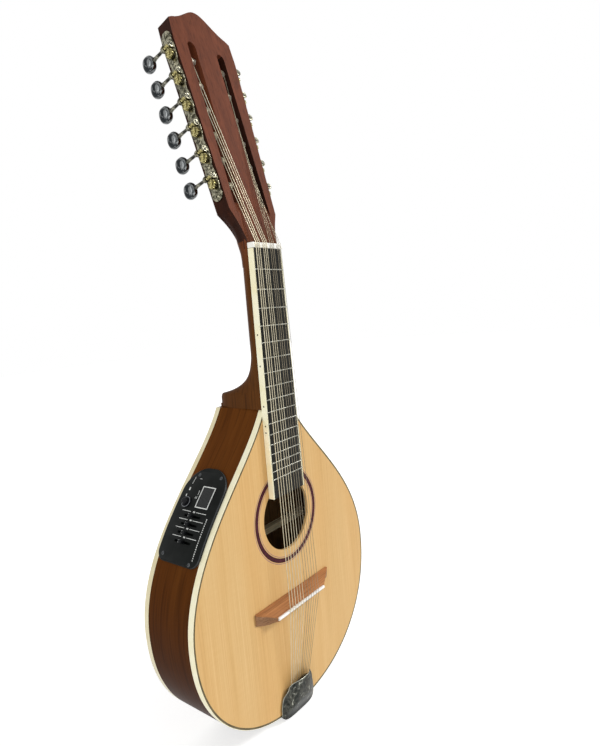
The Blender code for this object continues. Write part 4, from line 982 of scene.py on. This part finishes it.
GEAR_LOW, GEAR_HIGH = mm(2.6, 5.8)     # out from the headstock's side
LUG_GAP = 0.35 * MM
LUG_THICKNESS = 1.6 * MM
WORM_LOW = ROLLER_N - WORM_LENGTH / 2
WORM_HIGH = ROLLER_N + WORM_LENGTH / 2


def make_roller(number, side):
    """The post that crosses the slot, and the gear with twelve cut teeth and its screw."""
    def at(a, b, height):
        return side * height, a, b

    profile = ((-ROLLER_REACH, 2.3 * MM), (-ROLLER_REACH + 0.5 * MM, ROLLER_RADIUS),
               (2.5 * MM, ROLLER_RADIUS))
    post = turned(f"post_{number}", profile, POST_STEEL, at, steps=28)
    teeth = 12
    rings = []
    for height, inset in ((GEAR_LOW, 0.25 * MM), (GEAR_LOW + 0.3 * MM, 0), (GEAR_HIGH - 0.3 * MM, 0),
                          (GEAR_HIGH, 0.25 * MM)):
        ring = []
        for i, (a, b) in enumerate(circle(1.0, teeth * 6)):
            radius = (4.5 * MM if i % 6 in (2, 3, 4) else 3.75 * MM) - inset
            ring.append(at(radius * a, radius * b, height))
        rings.append(ring)
    gear = loft("gear", rings, BRASS, smooth=30)
    profile = above(GEAR_HIGH, (-0.1, 2.0), (0.55, 1.95), (0.85, 1.5), (0.9, 0.6))
    screw = turned("screw", profile, BRASS, at, steps=24)
    cut(screw, prism("slit", oblong(*mm(-2.2, 2.2, -0.3, 0.3)), GEAR_HIGH + 0.45 * MM, GEAR_HIGH + 2 * MM,
                     BRASS, at))
    return post, merge(f"gear_{number}", (gear, screw), BRASS)


def make_worm(name):
    """Right-handed worm thread on its core."""
    pitch = 2.2 * MM
    rings = []
    rows = 44
    for i in range(rows + 1):
        rise = WORM_LENGTH * i / rows
        ring = []
        for k, (up, across) in enumerate(circle(1.0, 24)):
            phase = (rise / pitch - k / 24) % 1.0
            crest = smooth_step(1 - abs(2 * phase - 1) * 1.35)
            radius = 1.45 * MM + 0.65 * MM * crest
            ring.append((radius * across, WORM_LOW + rise, radius * up))
        rings.append(ring)
    return loft(name, rings, BRASS, smooth=50)


def make_shaft(name):
    """Shaft through both lugs, with its collar and the neck of the button."""
    start = WORM_LOW - LUG_GAP - LUG_THICKNESS
    collar = WORM_HIGH + 2 * LUG_GAP + LUG_THICKNESS
    button = BUTTON_N - BUTTON_HALF[1]
    profile = above(start, (0, 1.0), (0.3, 1.35))
    profile += above(collar, (0.3, 1.35), (0.35, 2.2), (0.7, 2.6), (1.5, 2.6), (2.1, 2.0), (3.0, 1.55),
                     (4.4, 1.45), (8.5, 1.55))
    profile += above(button, (-2.2, 1.7), (-1.2, 2.1), (-0.2, 2.1), (1.2, 1.6))
    return turned(name, profile, SHAFT_METAL, backwards, steps=28)


def make_button(name):
    """Oval cast button: fuller at the rim than a plain ellipsoid, with dished faces."""
    half_u, half_n, half_v = BUTTON_HALF
    rings = []
    rows = 22
    for i in range(1, rows):
        share = -math.cos(math.pi * i / rows)
        swell = (1 - abs(share) ** 2.5) ** (1 / 2.2)
        ring = []
        for cosine, sine in circle(1.0, 36):
            across = math.copysign(abs(cosine) ** 0.85, cosine)
            along = math.copysign(abs(sine) ** 0.9, sine)
            dish = 1 - 0.28 * math.exp(-(math.hypot(along, share) / 0.42) ** 2)
            ring.append((half_u * across * swell * dish, BUTTON_N + half_n * share * 0.985,
                         half_v * along * swell))
        rings.append(ring)
    return loft(name, rings, CHROME, smooth=60)


def make_plate(name, side):
    """Tuner plate with rounded ends, bearing lugs and its fixing screws."""
    low, high = mm(0.3, 1.5)
    n_low, n_high = mm(1.2, 14.6)
    v_low, v_high = -15.5 * MM, TUNER_PITCH * 5 + GEAR_DISTANCE + 15.5 * MM
    middle = (n_low + n_high) / 2
    half = (n_high - n_low) / 2
    waists = []
    steps = 60
    for i in range(1, steps):
        v = v_low + half + (v_high - v_low - 2 * half) * i / steps
        phase = (v - GEAR_DISTANCE / 2) / TUNER_PITCH
        waists.append((1.3 * MM * (0.5 - 0.5 * math.cos(2 * math.pi * phase)) ** 3, v))
    edge = [(middle + a, v_low + half + b) for a, b in half_circle(half, math.pi, 12)]
    edge += [(n_high - pinch, v) for pinch, v in waists]
    edge += [(middle + a, v_high - half + b) for a, b in half_circle(half, 0.0, 12)]
    edge += [(n_low + pinch, v) for pinch, v in reversed(waists)]
    plate = prism("plate", edge, low, high, NICKEL, lambda a, b, c: (side * c, a, b))
    soften(plate, 0.3 * MM)
    cut(plate, *(turned("post_hole", ((-MM, ROLLER_BORE), (2.5 * MM, ROLLER_BORE)), NICKEL,
                        lambda a, b, c: (side * c, ROLLER_N + a, TUNER_PITCH * i + b), steps=24)
                 for i in range(TUNERS_PER_SIDE)))
    pieces = [plate]
    for i in range(TUNERS_PER_SIDE):
        worm_v = TUNER_PITCH * i + GEAR_DISTANCE
        for n in (WORM_LOW - LUG_GAP - LUG_THICKNESS, WORM_HIGH + LUG_GAP):
            profile = [(n_low, worm_v - 3 * MM)]
            profile += [(SHAFT_U + 3.4 * MM * out, worm_v + 3 * MM * along)
                        for along, out in reversed(half_circle(1.0, 0.0, 14))]
            profile.append((n_low, worm_v + 3 * MM))
            lug = prism("lug", profile, n, n + LUG_THICKNESS, NICKEL, lambda a, b, c: (side * a, c, b))
            cut(lug, turned("shaft_hole", ((n - MM, 1.75 * MM), (n + 3 * MM, 1.75 * MM)), NICKEL,
                            lambda a, b, c: (side * (SHAFT_U + a), c, worm_v + b), steps=24))
            soften(lug, 0.2 * MM)
            pieces.append(lug)
    screws = [v_low + 4.2 * MM, v_high - 4.2 * MM]
    screws += [TUNER_PITCH * (i + 0.5) + GEAR_DISTANCE / 2 for i in range(5)]
    for v in screws:
        profile = above(high, (-0.1, 1.9), (0.35, 1.9), (0.8, 1.35), (0.95, 0.5))
        head = turned("screw_head", profile, NICKEL, lambda a, b, c: (side * c, middle + a, v + b), steps=20)
        cut(head, prism("slit", oblong(*mm(-2, 2, -0.28, 0.28)), high + 0.4 * MM, high + 2 * MM, NICKEL,
                        lambda a, b, c: (side * c, middle + a * 0.8 + b * 0.6, v + b * 0.8 - a * 0.6)))
        pieces.append(head)
    return merge(name, pieces, NICKEL)


def make_tuners():
    for side, word in ((-1, "bass"), (1, "treble")):
        carrier = side_frame(side)
        plate = make_plate(f"machine_plate_{word}", side)
        settle(plate, replaces=(f"tuner_plate_{word}",), world=carrier)
        for i in range(TUNERS_PER_SIDE):
            number = f"{i + 1 if side < 0 else 12 - i:02d}"
            world = carrier @ Matrix.Translation((0, ROLLER_N, TUNER_PITCH * i))
            body = f"string_roller_{number}"
            post, gear = make_roller(number, side)
            settle(post, body, (body,), world)
            settle(gear, body, world=world)
            world = carrier @ Matrix.Translation((side * SHAFT_U, 0, TUNER_PITCH * i + GEAR_DISTANCE))
            body = f"tuner_key_{number}"
            settle(make_worm(f"worm_{number}"), body, world=world)
            settle(make_shaft(f"shaft_{number}"), body, world=world)
            settle(make_button(f"button_{number}"), body, (body,), world)


# ---------------------------------------------------------------- bridge and tailpiece

BRIDGE_TIP = 58 * MM
BRIDGE_CREST = 39.5 * MM
BRIDGE_FOOT = 11 * MM
SADDLE_HALF_LENGTH = 37.3 * MM
SADDLE_HALF_WIDTH = 1.4 * MM


def make_bridge():
    world = Matrix.Translation(BRIDGE_PLACE) @ Matrix.Rotation(BRIDGE_SKEW, 4, "Y")
    wing = [(BRIDGE_TIP, *mm(2.2, 11, 9.8, 0)), (BRIDGE_CREST + 9 * MM, *mm(6.6, 6.9, 6.2, -4.2)),
            (BRIDGE_CREST, *mm(11, 2.7, 2.2, -7.3)), (BRIDGE_CREST - 3 * MM, *mm(11, 2.7, -2.7, -7.5))]
    stations = [(-x, *rest) for x, *rest in wing] + wing[::-1]
    rings = [[(x, 0, BRIDGE_FOOT), (x, -MM, BRIDGE_FOOT), (x, -height, nut_edge), (x, -height, tail_edge),
              (x, -MM, tail_foot), (x, 0, tail_foot)]
             for x, height, nut_edge, tail_edge, tail_foot in stations]
    bridge = loft("bridge_wood", rings, BRIDGE_WOOD, smooth=12)
    # The down-facing tail-side facets and the end faces get painted shade.
    paint(bridge, BRIDGE_SHADED_FLANK,
          lambda face: (face.normal.z < -0.05 and face.normal.y < -0.05) or abs(face.normal.x) > 0.9)
    cut(bridge, prism("saddle_slot", oblong(*mm(-37.6, 37.6, -1.7, 1.7)), -18 * MM, -8 * MM, BRIDGE_WOOD,
                      backwards))
    soften(bridge, 0.35 * MM, angle=20)
    settle(bridge, replaces=("bridge",), world=world)
    section = [(-11.9 * MM - 0.8 * MM * up, SADDLE_HALF_WIDTH * along)
               for along, up in half_circle(1.0, 0.0, 8)]
    section += [(-7.7 * MM, -SADDLE_HALF_WIDTH), (-7.7 * MM, SADDLE_HALF_WIDTH)]
    saddle = prism("string_saddle", section, -SADDLE_HALF_LENGTH, SADDLE_HALF_LENGTH, SADDLE_WHITE, sideways)
    settle(saddle, replaces=("saddle",), world=world)


COVER_TOP_Z = -429 * MM
COVER_FOLD_Z = -466.3 * MM
COVER_MOUTH_HALF = 16.8 * MM
COVER_FLARE = 8.7 * MM
COVER_THICKNESS = 1 * MM
COVER_STEPS = [i / 20 - 1 for i in range(41)]     # places across it, -1 to 1
COVER_SHARES = (0.0, 0.2, 0.43, 0.69, 1.0)        # of the way from mouth to fold
COVER_WIDENING = (0.0, 0.42, 0.8, 1.0, 0.97)
COVER_CROWN = (1.0, 1.0, 0.85, 0.6, 0.3)


def cover_corner(across):
    """How far the cover's ends are drawn in at a place across it."""
    return 4.5 * MM * abs(across) ** 8


def cover_row(share, under=0.0):
    """A row of points across the cover, from its mouth, 0, to its fold, 1."""
    width = COVER_MOUTH_HALF + COVER_FLARE * float(np.interp(share, COVER_SHARES, COVER_WIDENING))
    crown = 6.5 * MM * float(np.interp(share, COVER_SHARES, COVER_CROWN))
    lean = 3.2 * MM * smooth_step((share - 0.55) / 0.45)
    row = []
    for across in COVER_STEPS:
        fall = 3.4 * MM * smooth_step((share - 0.06) / 0.34) * abs(across) ** 4
        y = -5.5 * MM - crown * (1 - abs(across) ** 3) + max(lean, fall) + under
        z = COVER_TOP_Z - (COVER_TOP_Z - COVER_FOLD_Z - MM) * share + cover_corner(across) * (2 * share - 1)
        row.append(Vector((width * across, y, z)))
    return row


def make_tailpiece():
    world = tailpiece_place()
    rows = [cover_row(i / 24) for i in range(25)]
    rings = [row + cover_row(i / 24, COVER_THICKNESS)[::-1] for i, row in enumerate(rows)]
    under = cover_row(1.0, COVER_THICKNESS)[::-1]
    for turn in (0.35, 0.75, 1.0):
        drop = MM * math.sin(turn * math.pi / 2)
        fall = 0.8 * MM * (1 - math.cos(turn * math.pi / 2))
        rings.append([point + Vector((0, fall, -drop)) for point in rows[-1]]
                     + [point + Vector((0, fall * 0.5, -drop * 0.2)) for point in under])
    width = (COVER_MOUTH_HALF + COVER_FLARE) * 0.9
    lip = [Vector((width * across, 5 * MM * (1 - 0.55 * across * across),
                   COVER_FOLD_Z + cover_corner(across) * 0.4)) for across in COVER_STEPS]
    rings.append(lip + [point + Vector((0, 0, COVER_THICKNESS)) for point in lip[::-1]])
    cover = loft("tail_cover", rings, TAIL_METAL, smooth=45)
    settle(cover, "tailpiece_cover", ("tailpiece_cover",), world)
    path = [row[0] for row in reversed(rows)] + rows[0][1:-1] + [row[-1] for row in rows]
    middle = Vector((0, COVER_THICKNESS / 2, 0))
    bead = tube("tail_cover_bead", [point + middle for point in path], 0.45 * MM, COVER_BEAD, 10)
    settle(bead, "tailpiece_cover", world=world)


# ---------------------------------------------------------------- preamp

PRINT_LOW = PANEL_FACE - 0.2 * MM
PRINT_HIGH = PANEL_FACE + 0.08 * MM
KNOB = mm(36, 47)       # along the panel and back from the soundboard
SLIDERS = [mm(47.5 + 7.7 * i, 32.5) for i in range(4)]
STEM_LOW = PANEL_FACE - 4.6 * MM
STEM_HIGH = PANEL_FACE + 0.4 * MM


def panel_at(along, y, out):
    """A place over the bass-side rim: length from the neck, depth and height outwards."""
    x, z = OUTLINE.inset(along, -out, -1)
    return Vector((x, y, z))


def patch(name, corners, low, high, finish, steps=6):
    """A raised patch with (along, y) corners, bent with the panel."""
    outline = []
    for a, b in zip(corners, corners[1:] + corners[:1]):
        for k in range(steps):
            share = k / steps
            outline.append((a[0] + (b[0] - a[0]) * share, a[1] + (b[1] - a[1]) * share))
    rings = [[panel_at(along, y, out) for along, y in outline] for out in (low, high)]
    return loft(name, rings, finish)


def printed(a, b, width, low=PRINT_LOW, high=PRINT_HIGH):
    """A straight printed line between two (along, y) places, all in millimetres."""
    (along, y), (end_along, end_y), width = mm(a, b, width)
    dx, dy = end_along - along, end_y - y
    size = math.hypot(dx, dy)
    nx, ny = -dy / size * width / 2, dx / size * width / 2
    corners = ((along + nx, y + ny), (end_along + nx, end_y + ny), (end_along - nx, end_y - ny),
               (along - nx, y - ny))
    return patch("printed", corners, low, high, PRINT)


def control_place(along, y):
    """Frame of a control: x up the rim, z out of it."""
    (x, z), direction, inward = OUTLINE.at(PANEL_START + along)
    outward = Vector((inward[0], 0, -inward[1]))
    up_rim = Vector((direction[0], 0, -direction[1]))
    axes = Matrix((up_rim, outward.cross(up_rim), outward)).transposed().to_4x4()
    return Matrix.Translation((-x, y, z)) @ axes


def panel_half_width(along):
    """Half the panel's width at a length from its neck end."""
    from_end, radius = min((along, PANEL_CORNERS[0]), (PANEL_LENGTH - along, PANEL_CORNERS[1]))
    missing = radius - math.sqrt(radius ** 2 - max(0.0, radius - from_end) ** 2)
    return PANEL_WIDTH / 2 - missing


def make_panel():
    """The panel, bent with the rim, on its box, with the grooves and well of the controls."""
    middle = BODY_DEPTH / 2
    edge = 0.35 * MM
    rings = []
    steps = 64
    for i in range(steps + 1):
        along = PANEL_LENGTH * (0.5 - 0.5 * math.cos(math.pi * i / steps))
        half = panel_half_width(along)
        ease = min(0.9 * MM, half * 0.5)
        lift = min(1.0, min(along, PANEL_LENGTH - along) / (0.9 * MM))
        face = edge + (PANEL_FACE - edge) * math.sqrt(max(0.0, 1 - (1 - lift) ** 2))
        side = ((half, 0.3 * MM), (half, max(edge, face - ease)), (half - ease * 0.3, face - ease * 0.3),
                (half - ease, face))
        section = [(-offset, out) for offset, out in side] + list(reversed(side))
        rings.append([panel_at(PANEL_START + along, middle + offset, out) for offset, out in section])
    panel = loft("preamp_panel", rings, PANEL_BLACK)
    outline = oblong(0.5 * MM, 20 * MM, middle - BOX_WIDTH / 2, middle + BOX_WIDTH / 2)
    box = prism("preamp_box", outline, -BOX_LENGTH / 2, BOX_LENGTH / 2, PANEL_BLACK, inside(box_place()))
    combine(panel, (box,), "UNION")
    # Small bevel faces along the edges get the painted highlight.
    paint(panel, PANEL_EDGE_HIGHLIGHT, lambda face: face.area < 8e-6 and 0.15 < abs(face.normal.y) < 0.98)
    tools = []
    half_a, half_b = mm(1.05, 10.45)
    for along, y in SLIDERS:
        corners = oblong(PANEL_START + along - half_a, PANEL_START + along + half_a, y - half_b, y + half_b)
        tools.append(patch("groove", corners, -2.7 * MM, 5 * MM, PANEL_BLACK, 1))
    tools.append(turned("well", mm((-2.7, 3.35), (6, 3.35)), PANEL_BLACK, inside(control_place(*KNOB)),
                        steps=32))
    cut(panel, *tools)
    settle(panel, replaces=("preamp",))


def make_panel_marks():
    """The display and its frame, the scales and ticks of the controls, and four screws."""
    screen = patch("screen", oblong(*mm(84.5, 103, 19, 33)), PANEL_FACE - 0.5 * MM, PANEL_FACE + 0.1 * MM,
                   SCREEN)
    settle(screen)
    lines = [printed(a, b, 0.9, PANEL_FACE - 0.3 * MM, PANEL_FACE + 0.25 * MM) for a, b in (
        ((83.8, 18), (83.8, 34)), ((103.7, 18), (103.7, 34)), ((83.5, 18.3), (104, 18.3)),
        ((83.5, 33.7), (104, 33.7)))]
    settle(merge("screen_frame", lines, PRINT))

    marks = []
    for i in range(4):
        along = 108.5 + 7.65 * i
        for start, end, width in ((16.5, 29.5, 0.5), (31.0, 33.6, 1.3), (36.5, 48, 0.5)):
            marks.append(printed((along, start), (along, end), width))
    for i in range(20):
        along = 112 + 1.86 * i
        length = 1.08 if i % 4 else 1.368
        marks.append(printed((along, 13.2), (along + length, 13.2), 0.9))
    for a, b, width in (((76, 49.5), (83, 50.2), 0.45), ((86.5, 50.5), (89.5, 50.5), 1.5),
                        ((93.5, 51.5), (95.5, 51.5), 1.3), ((77, 40.5), (77, 43), 0.4),
                        ((88, 37), (92.5, 37), 0.5), ((94, 37), (96.5, 37), 0.5),
                        ((94.3, 38.6), (96.2, 38.6), 0.45)):
        marks.append(printed(a, b, width))
    settle(merge("panel_marks", marks, PRINT))

    screws = []
    for along, y in mm((8.5, 17), (8.5, 45.7), (83.7, 52), (87, 16)):
        world = control_place(along, y)
        profile = above(PANEL_FACE, (-0.3, 1.7), (0.25, 1.7), (0.5, 1.2))
        head = turned("head", profile, SCREW, inside(world), steps=20)
        for turn in (0.4, 0.4 + math.pi / 2):
            turned_world = world @ Matrix.Rotation(turn, 4, "Z")
            cut(head, prism("slit", oblong(*mm(-1.1, 1.1, -0.22, 0.22)), PANEL_FACE + 0.15 * MM,
                            PANEL_FACE + MM, SCREW, inside(turned_world)))
        screws.append(head)
    settle(merge("panel_screws", screws, SCREW))


def make_knob():
    """Fluted skirt and cap on a stem, with a grey ring and a pointer line."""
    world = control_place(*KNOB)
    rings = []
    for height, radius, flute in mm((0.3, 5.5, 0), (0.5, 5.6, 0.22), (1.1, 5.4, 0.22), (1.3, 5.2, 0),
                                    (1.4, 3.7, 0.15), (3.6, 3.5, 0.15), (4.1, 3.3, 0.1), (4.4, 2.9, 0),
                                    (4.5, 2.5, 0)):
        ring = []
        for i, (a, b) in enumerate(circle(1.0, 120)):
            ripple = radius - flute * (0.5 + 0.5 * math.cos(math.pi * i / 2))
            ring.append((ripple * a, ripple * b, PANEL_FACE + height))
        rings.append(ring)
    cap = loft("knob_cap", rings, CONTROL_BLACK, smooth=30)
    stem = turned("stem", ((STEM_LOW, 3 * MM), (STEM_HIGH, 3 * MM)), CONTROL_BLACK, steps=28)
    settle(merge("knob", (cap, stem), CONTROL_BLACK), "volume_knob", ("volume_knob",), world)
    pointer = prism("knob_pointer", oblong(*mm(-2.8, -1.2, -0.25, 0.25)), PANEL_FACE + 4.2 * MM,
                    PANEL_FACE + 4.48 * MM, PRINT)
    settle(pointer, "volume_knob", world=world)
    section = mm((4.55, 1.1), (5.15, 1.1), (5.15, 1.45), (4.55, 1.5))
    loops = [[(radius * a, radius * b, PANEL_FACE + height) for radius, height in section]
             for a, b in circle(1.0, 48)]
    settle(loft("knob_ring", loops, KNOB_RING, closed=True), "volume_knob", world=world)


def make_slider(number, place):
    """Stem and tapered cap of an equaliser slider, with its white line."""
    world = control_place(*place)
    body = f"eq_slider_{number}"
    stem = prism("stem", oblong(*mm(-0.7, 0.7, -1.1, 1.1)), STEM_LOW, STEM_HIGH, CONTROL_BLACK)
    loops = [[(a, b, PANEL_FACE + height) for a, b in oblong(-half_a, half_a, -half_b, half_b)]
             for height, half_a, half_b in mm((0.3, 1.7, 2.3), (2.0, 1.6, 2.2), (4.2, 1.2, 1.95))]
    cap = loft("cap", loops, CONTROL_BLACK, smooth=30)
    soften(cap, 0.25 * MM)
    settle(merge(f"slider_cap_{number}", (stem, cap), CONTROL_BLACK), body, (body,), world)
    line = prism(f"slider_line_{number}", oblong(*mm(-1.15, 1.15, 0.35, 1.6)), PANEL_FACE + 4.0 * MM,
                 PANEL_FACE + 4.19 * MM, PRINT)
    settle(line, body, world=world)


def make_preamp():
    make_panel()
    make_panel_marks()
    make_knob()
    for i, place in enumerate(SLIDERS):
        make_slider(i + 1, place)


# ---------------------------------------------------------------- inside and tail

def make_jack():
    profile = mm((-3.0, 6.1), (-2.8, 6.6), (-1.6, 6.8), (-1.55, 9.0), (-1.2, 9.5), (0, 9.5), (0, 6), (34, 6))
    jack = turned("jack_socket", profile, NICKEL, at_jack, steps=48)
    cut(jack, turned("bore", mm((-4, 3.3), (27, 3.3)), NICKEL, at_jack, steps=32))
    settle(jack, replaces=("output_jack",))


def dress(node, finish):
    """Give a CAD node that stays in view a detailed finish."""
    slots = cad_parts[node].data.materials
    slots.clear()
    slots.append(finish)


# ---------------------------------------------------------------- studio

FLOOR_HALF = 6.0
FLOOR_LIFT = 0.6
AMBIENT = 0.51
KEY = ("key", (-0.62, 0.66, -0.55), 1.62, 14)       # direction, strength and spread in degrees
FILL = ("fill", (0.95, 0.3, -0.15), 1.35, 60)
WHITE = (1, 1, 1, 1)

# The camera fitted to the photo, 746 pixels high
FOCAL_PIXELS = 537.6569
PHOTO_HEIGHT = 746
CAMERA_PLACE = (-0.398392, -0.341311, -0.065869)
CAMERA_RIGHT = (0.603142, -0.792885, -0.08691)
CAMERA_UP = (0.136857, -0.004473, 0.990581)
CAMERA_FORWARD = (0.785805, 0.609355, -0.105814)


def sees_background(tree):
    """1 for camera, glossy and transmission rays, to which the background is white."""
    path = tree.nodes.new("ShaderNodeLightPath")
    value = path.outputs["Is Camera Ray"]
    for name in ("Is Glossy Ray", "Is Transmission Ray"):
        step = tree.nodes.new("ShaderNodeMath")
        step.operation = "MAXIMUM"
        tree.links.new(value, step.inputs[0])
        tree.links.new(path.outputs[name], step.inputs[1])
        value = step.outputs[0]
    return value


def make_floor():
    """Pale floor that keeps the shadow; a little light of its own brings it up to white."""
    level = CAD_BOX[0][2] - 0.5 * MM
    build = bmesh.new()
    steps = 12
    places = [-FLOOR_HALF + 2 * FLOOR_HALF * i / steps for i in range(steps + 1)]
    grid = [[build.verts.new((x, y, level)) for y in places] for x in places]
    for i in range(steps):
        for j in range(steps):
            build.faces.new((grid[i][j], grid[i + 1][j], grid[i + 1][j + 1], grid[i][j + 1]))
    made = Finish("studio_floor", roughness=0.9, specular=0.0)
    made.colour(made.ramp(made.noise((3, 3, 3)), (0.3, 0.80), (0.7, 0.82)))
    made.shader.inputs["Emission Color"].default_value = WHITE
    lift = made.math("MULTIPLY", sees_background(made.tree), FLOOR_LIFT)
    made.tree.links.new(lift, made.shader.inputs["Emission Strength"])
    finish_piece("floor", build, made.made)


def make_world():
    """Soft light from all round, and a white background."""
    world = bpy.data.worlds.new("studio")
    bpy.context.scene.world = world
    world.use_nodes = True
    tree = world.node_tree
    tree.nodes.clear()
    mix = tree.nodes.new("ShaderNodeMixShader")
    tree.links.new(sees_background(tree), mix.inputs[0])
    for socket, strength in ((1, AMBIENT), (2, 1.0)):
        background = tree.nodes.new("ShaderNodeBackground")
        background.inputs["Color"].default_value = WHITE
        background.inputs["Strength"].default_value = strength
        tree.links.new(background.outputs[0], mix.inputs[socket])
    out = tree.nodes.new("ShaderNodeOutputWorld")
    tree.links.new(mix.outputs[0], out.inputs["Surface"])


def make_lamp(name, direction, strength, spread):
    """A broad distant lamp that shines along a direction."""
    data = bpy.data.lights.new(name, "SUN")
    data.energy = strength
    data.angle = math.radians(spread)
    lamp = bpy.data.objects.new(name, data)
    bpy.context.scene.collection.objects.link(lamp)
    lamp.rotation_euler = Vector(direction).to_track_quat("-Z", "Y").to_euler()


def make_camera():
    data = bpy.data.cameras.new("photo_camera")
    data.sensor_fit = "AUTO"
    data.sensor_width = 36.0
    data.lens = FOCAL_PIXELS / PHOTO_HEIGHT * data.sensor_width
    data.clip_start = 0.01
    camera = bpy.data.objects.new("photo_camera", data)
    bpy.context.scene.collection.objects.link(camera)
    axes = Matrix((CAMERA_RIGHT, CAMERA_UP, -Vector(CAMERA_FORWARD))).transposed().to_4x4()
    camera.matrix_world = Matrix.Translation(CAMERA_PLACE) @ axes
    bpy.context.scene.camera = camera


make_camera()
make_world()
make_lamp(*KEY)
make_lamp(*FILL)
make_floor()
make_body()
make_neck()
make_fretboard()
make_nut()
make_strings()
make_tuners()
make_bridge()
make_tailpiece()
make_preamp()
make_jack()
dress("top_braces", BRACE_WOOD)
dress("back_braces", BRACE_WOOD)
dress("tail_block", INSIDE)
dress("tailpiece_base", NICKEL)
bpy.context.scene.view_settings.view_transform = "Standard"
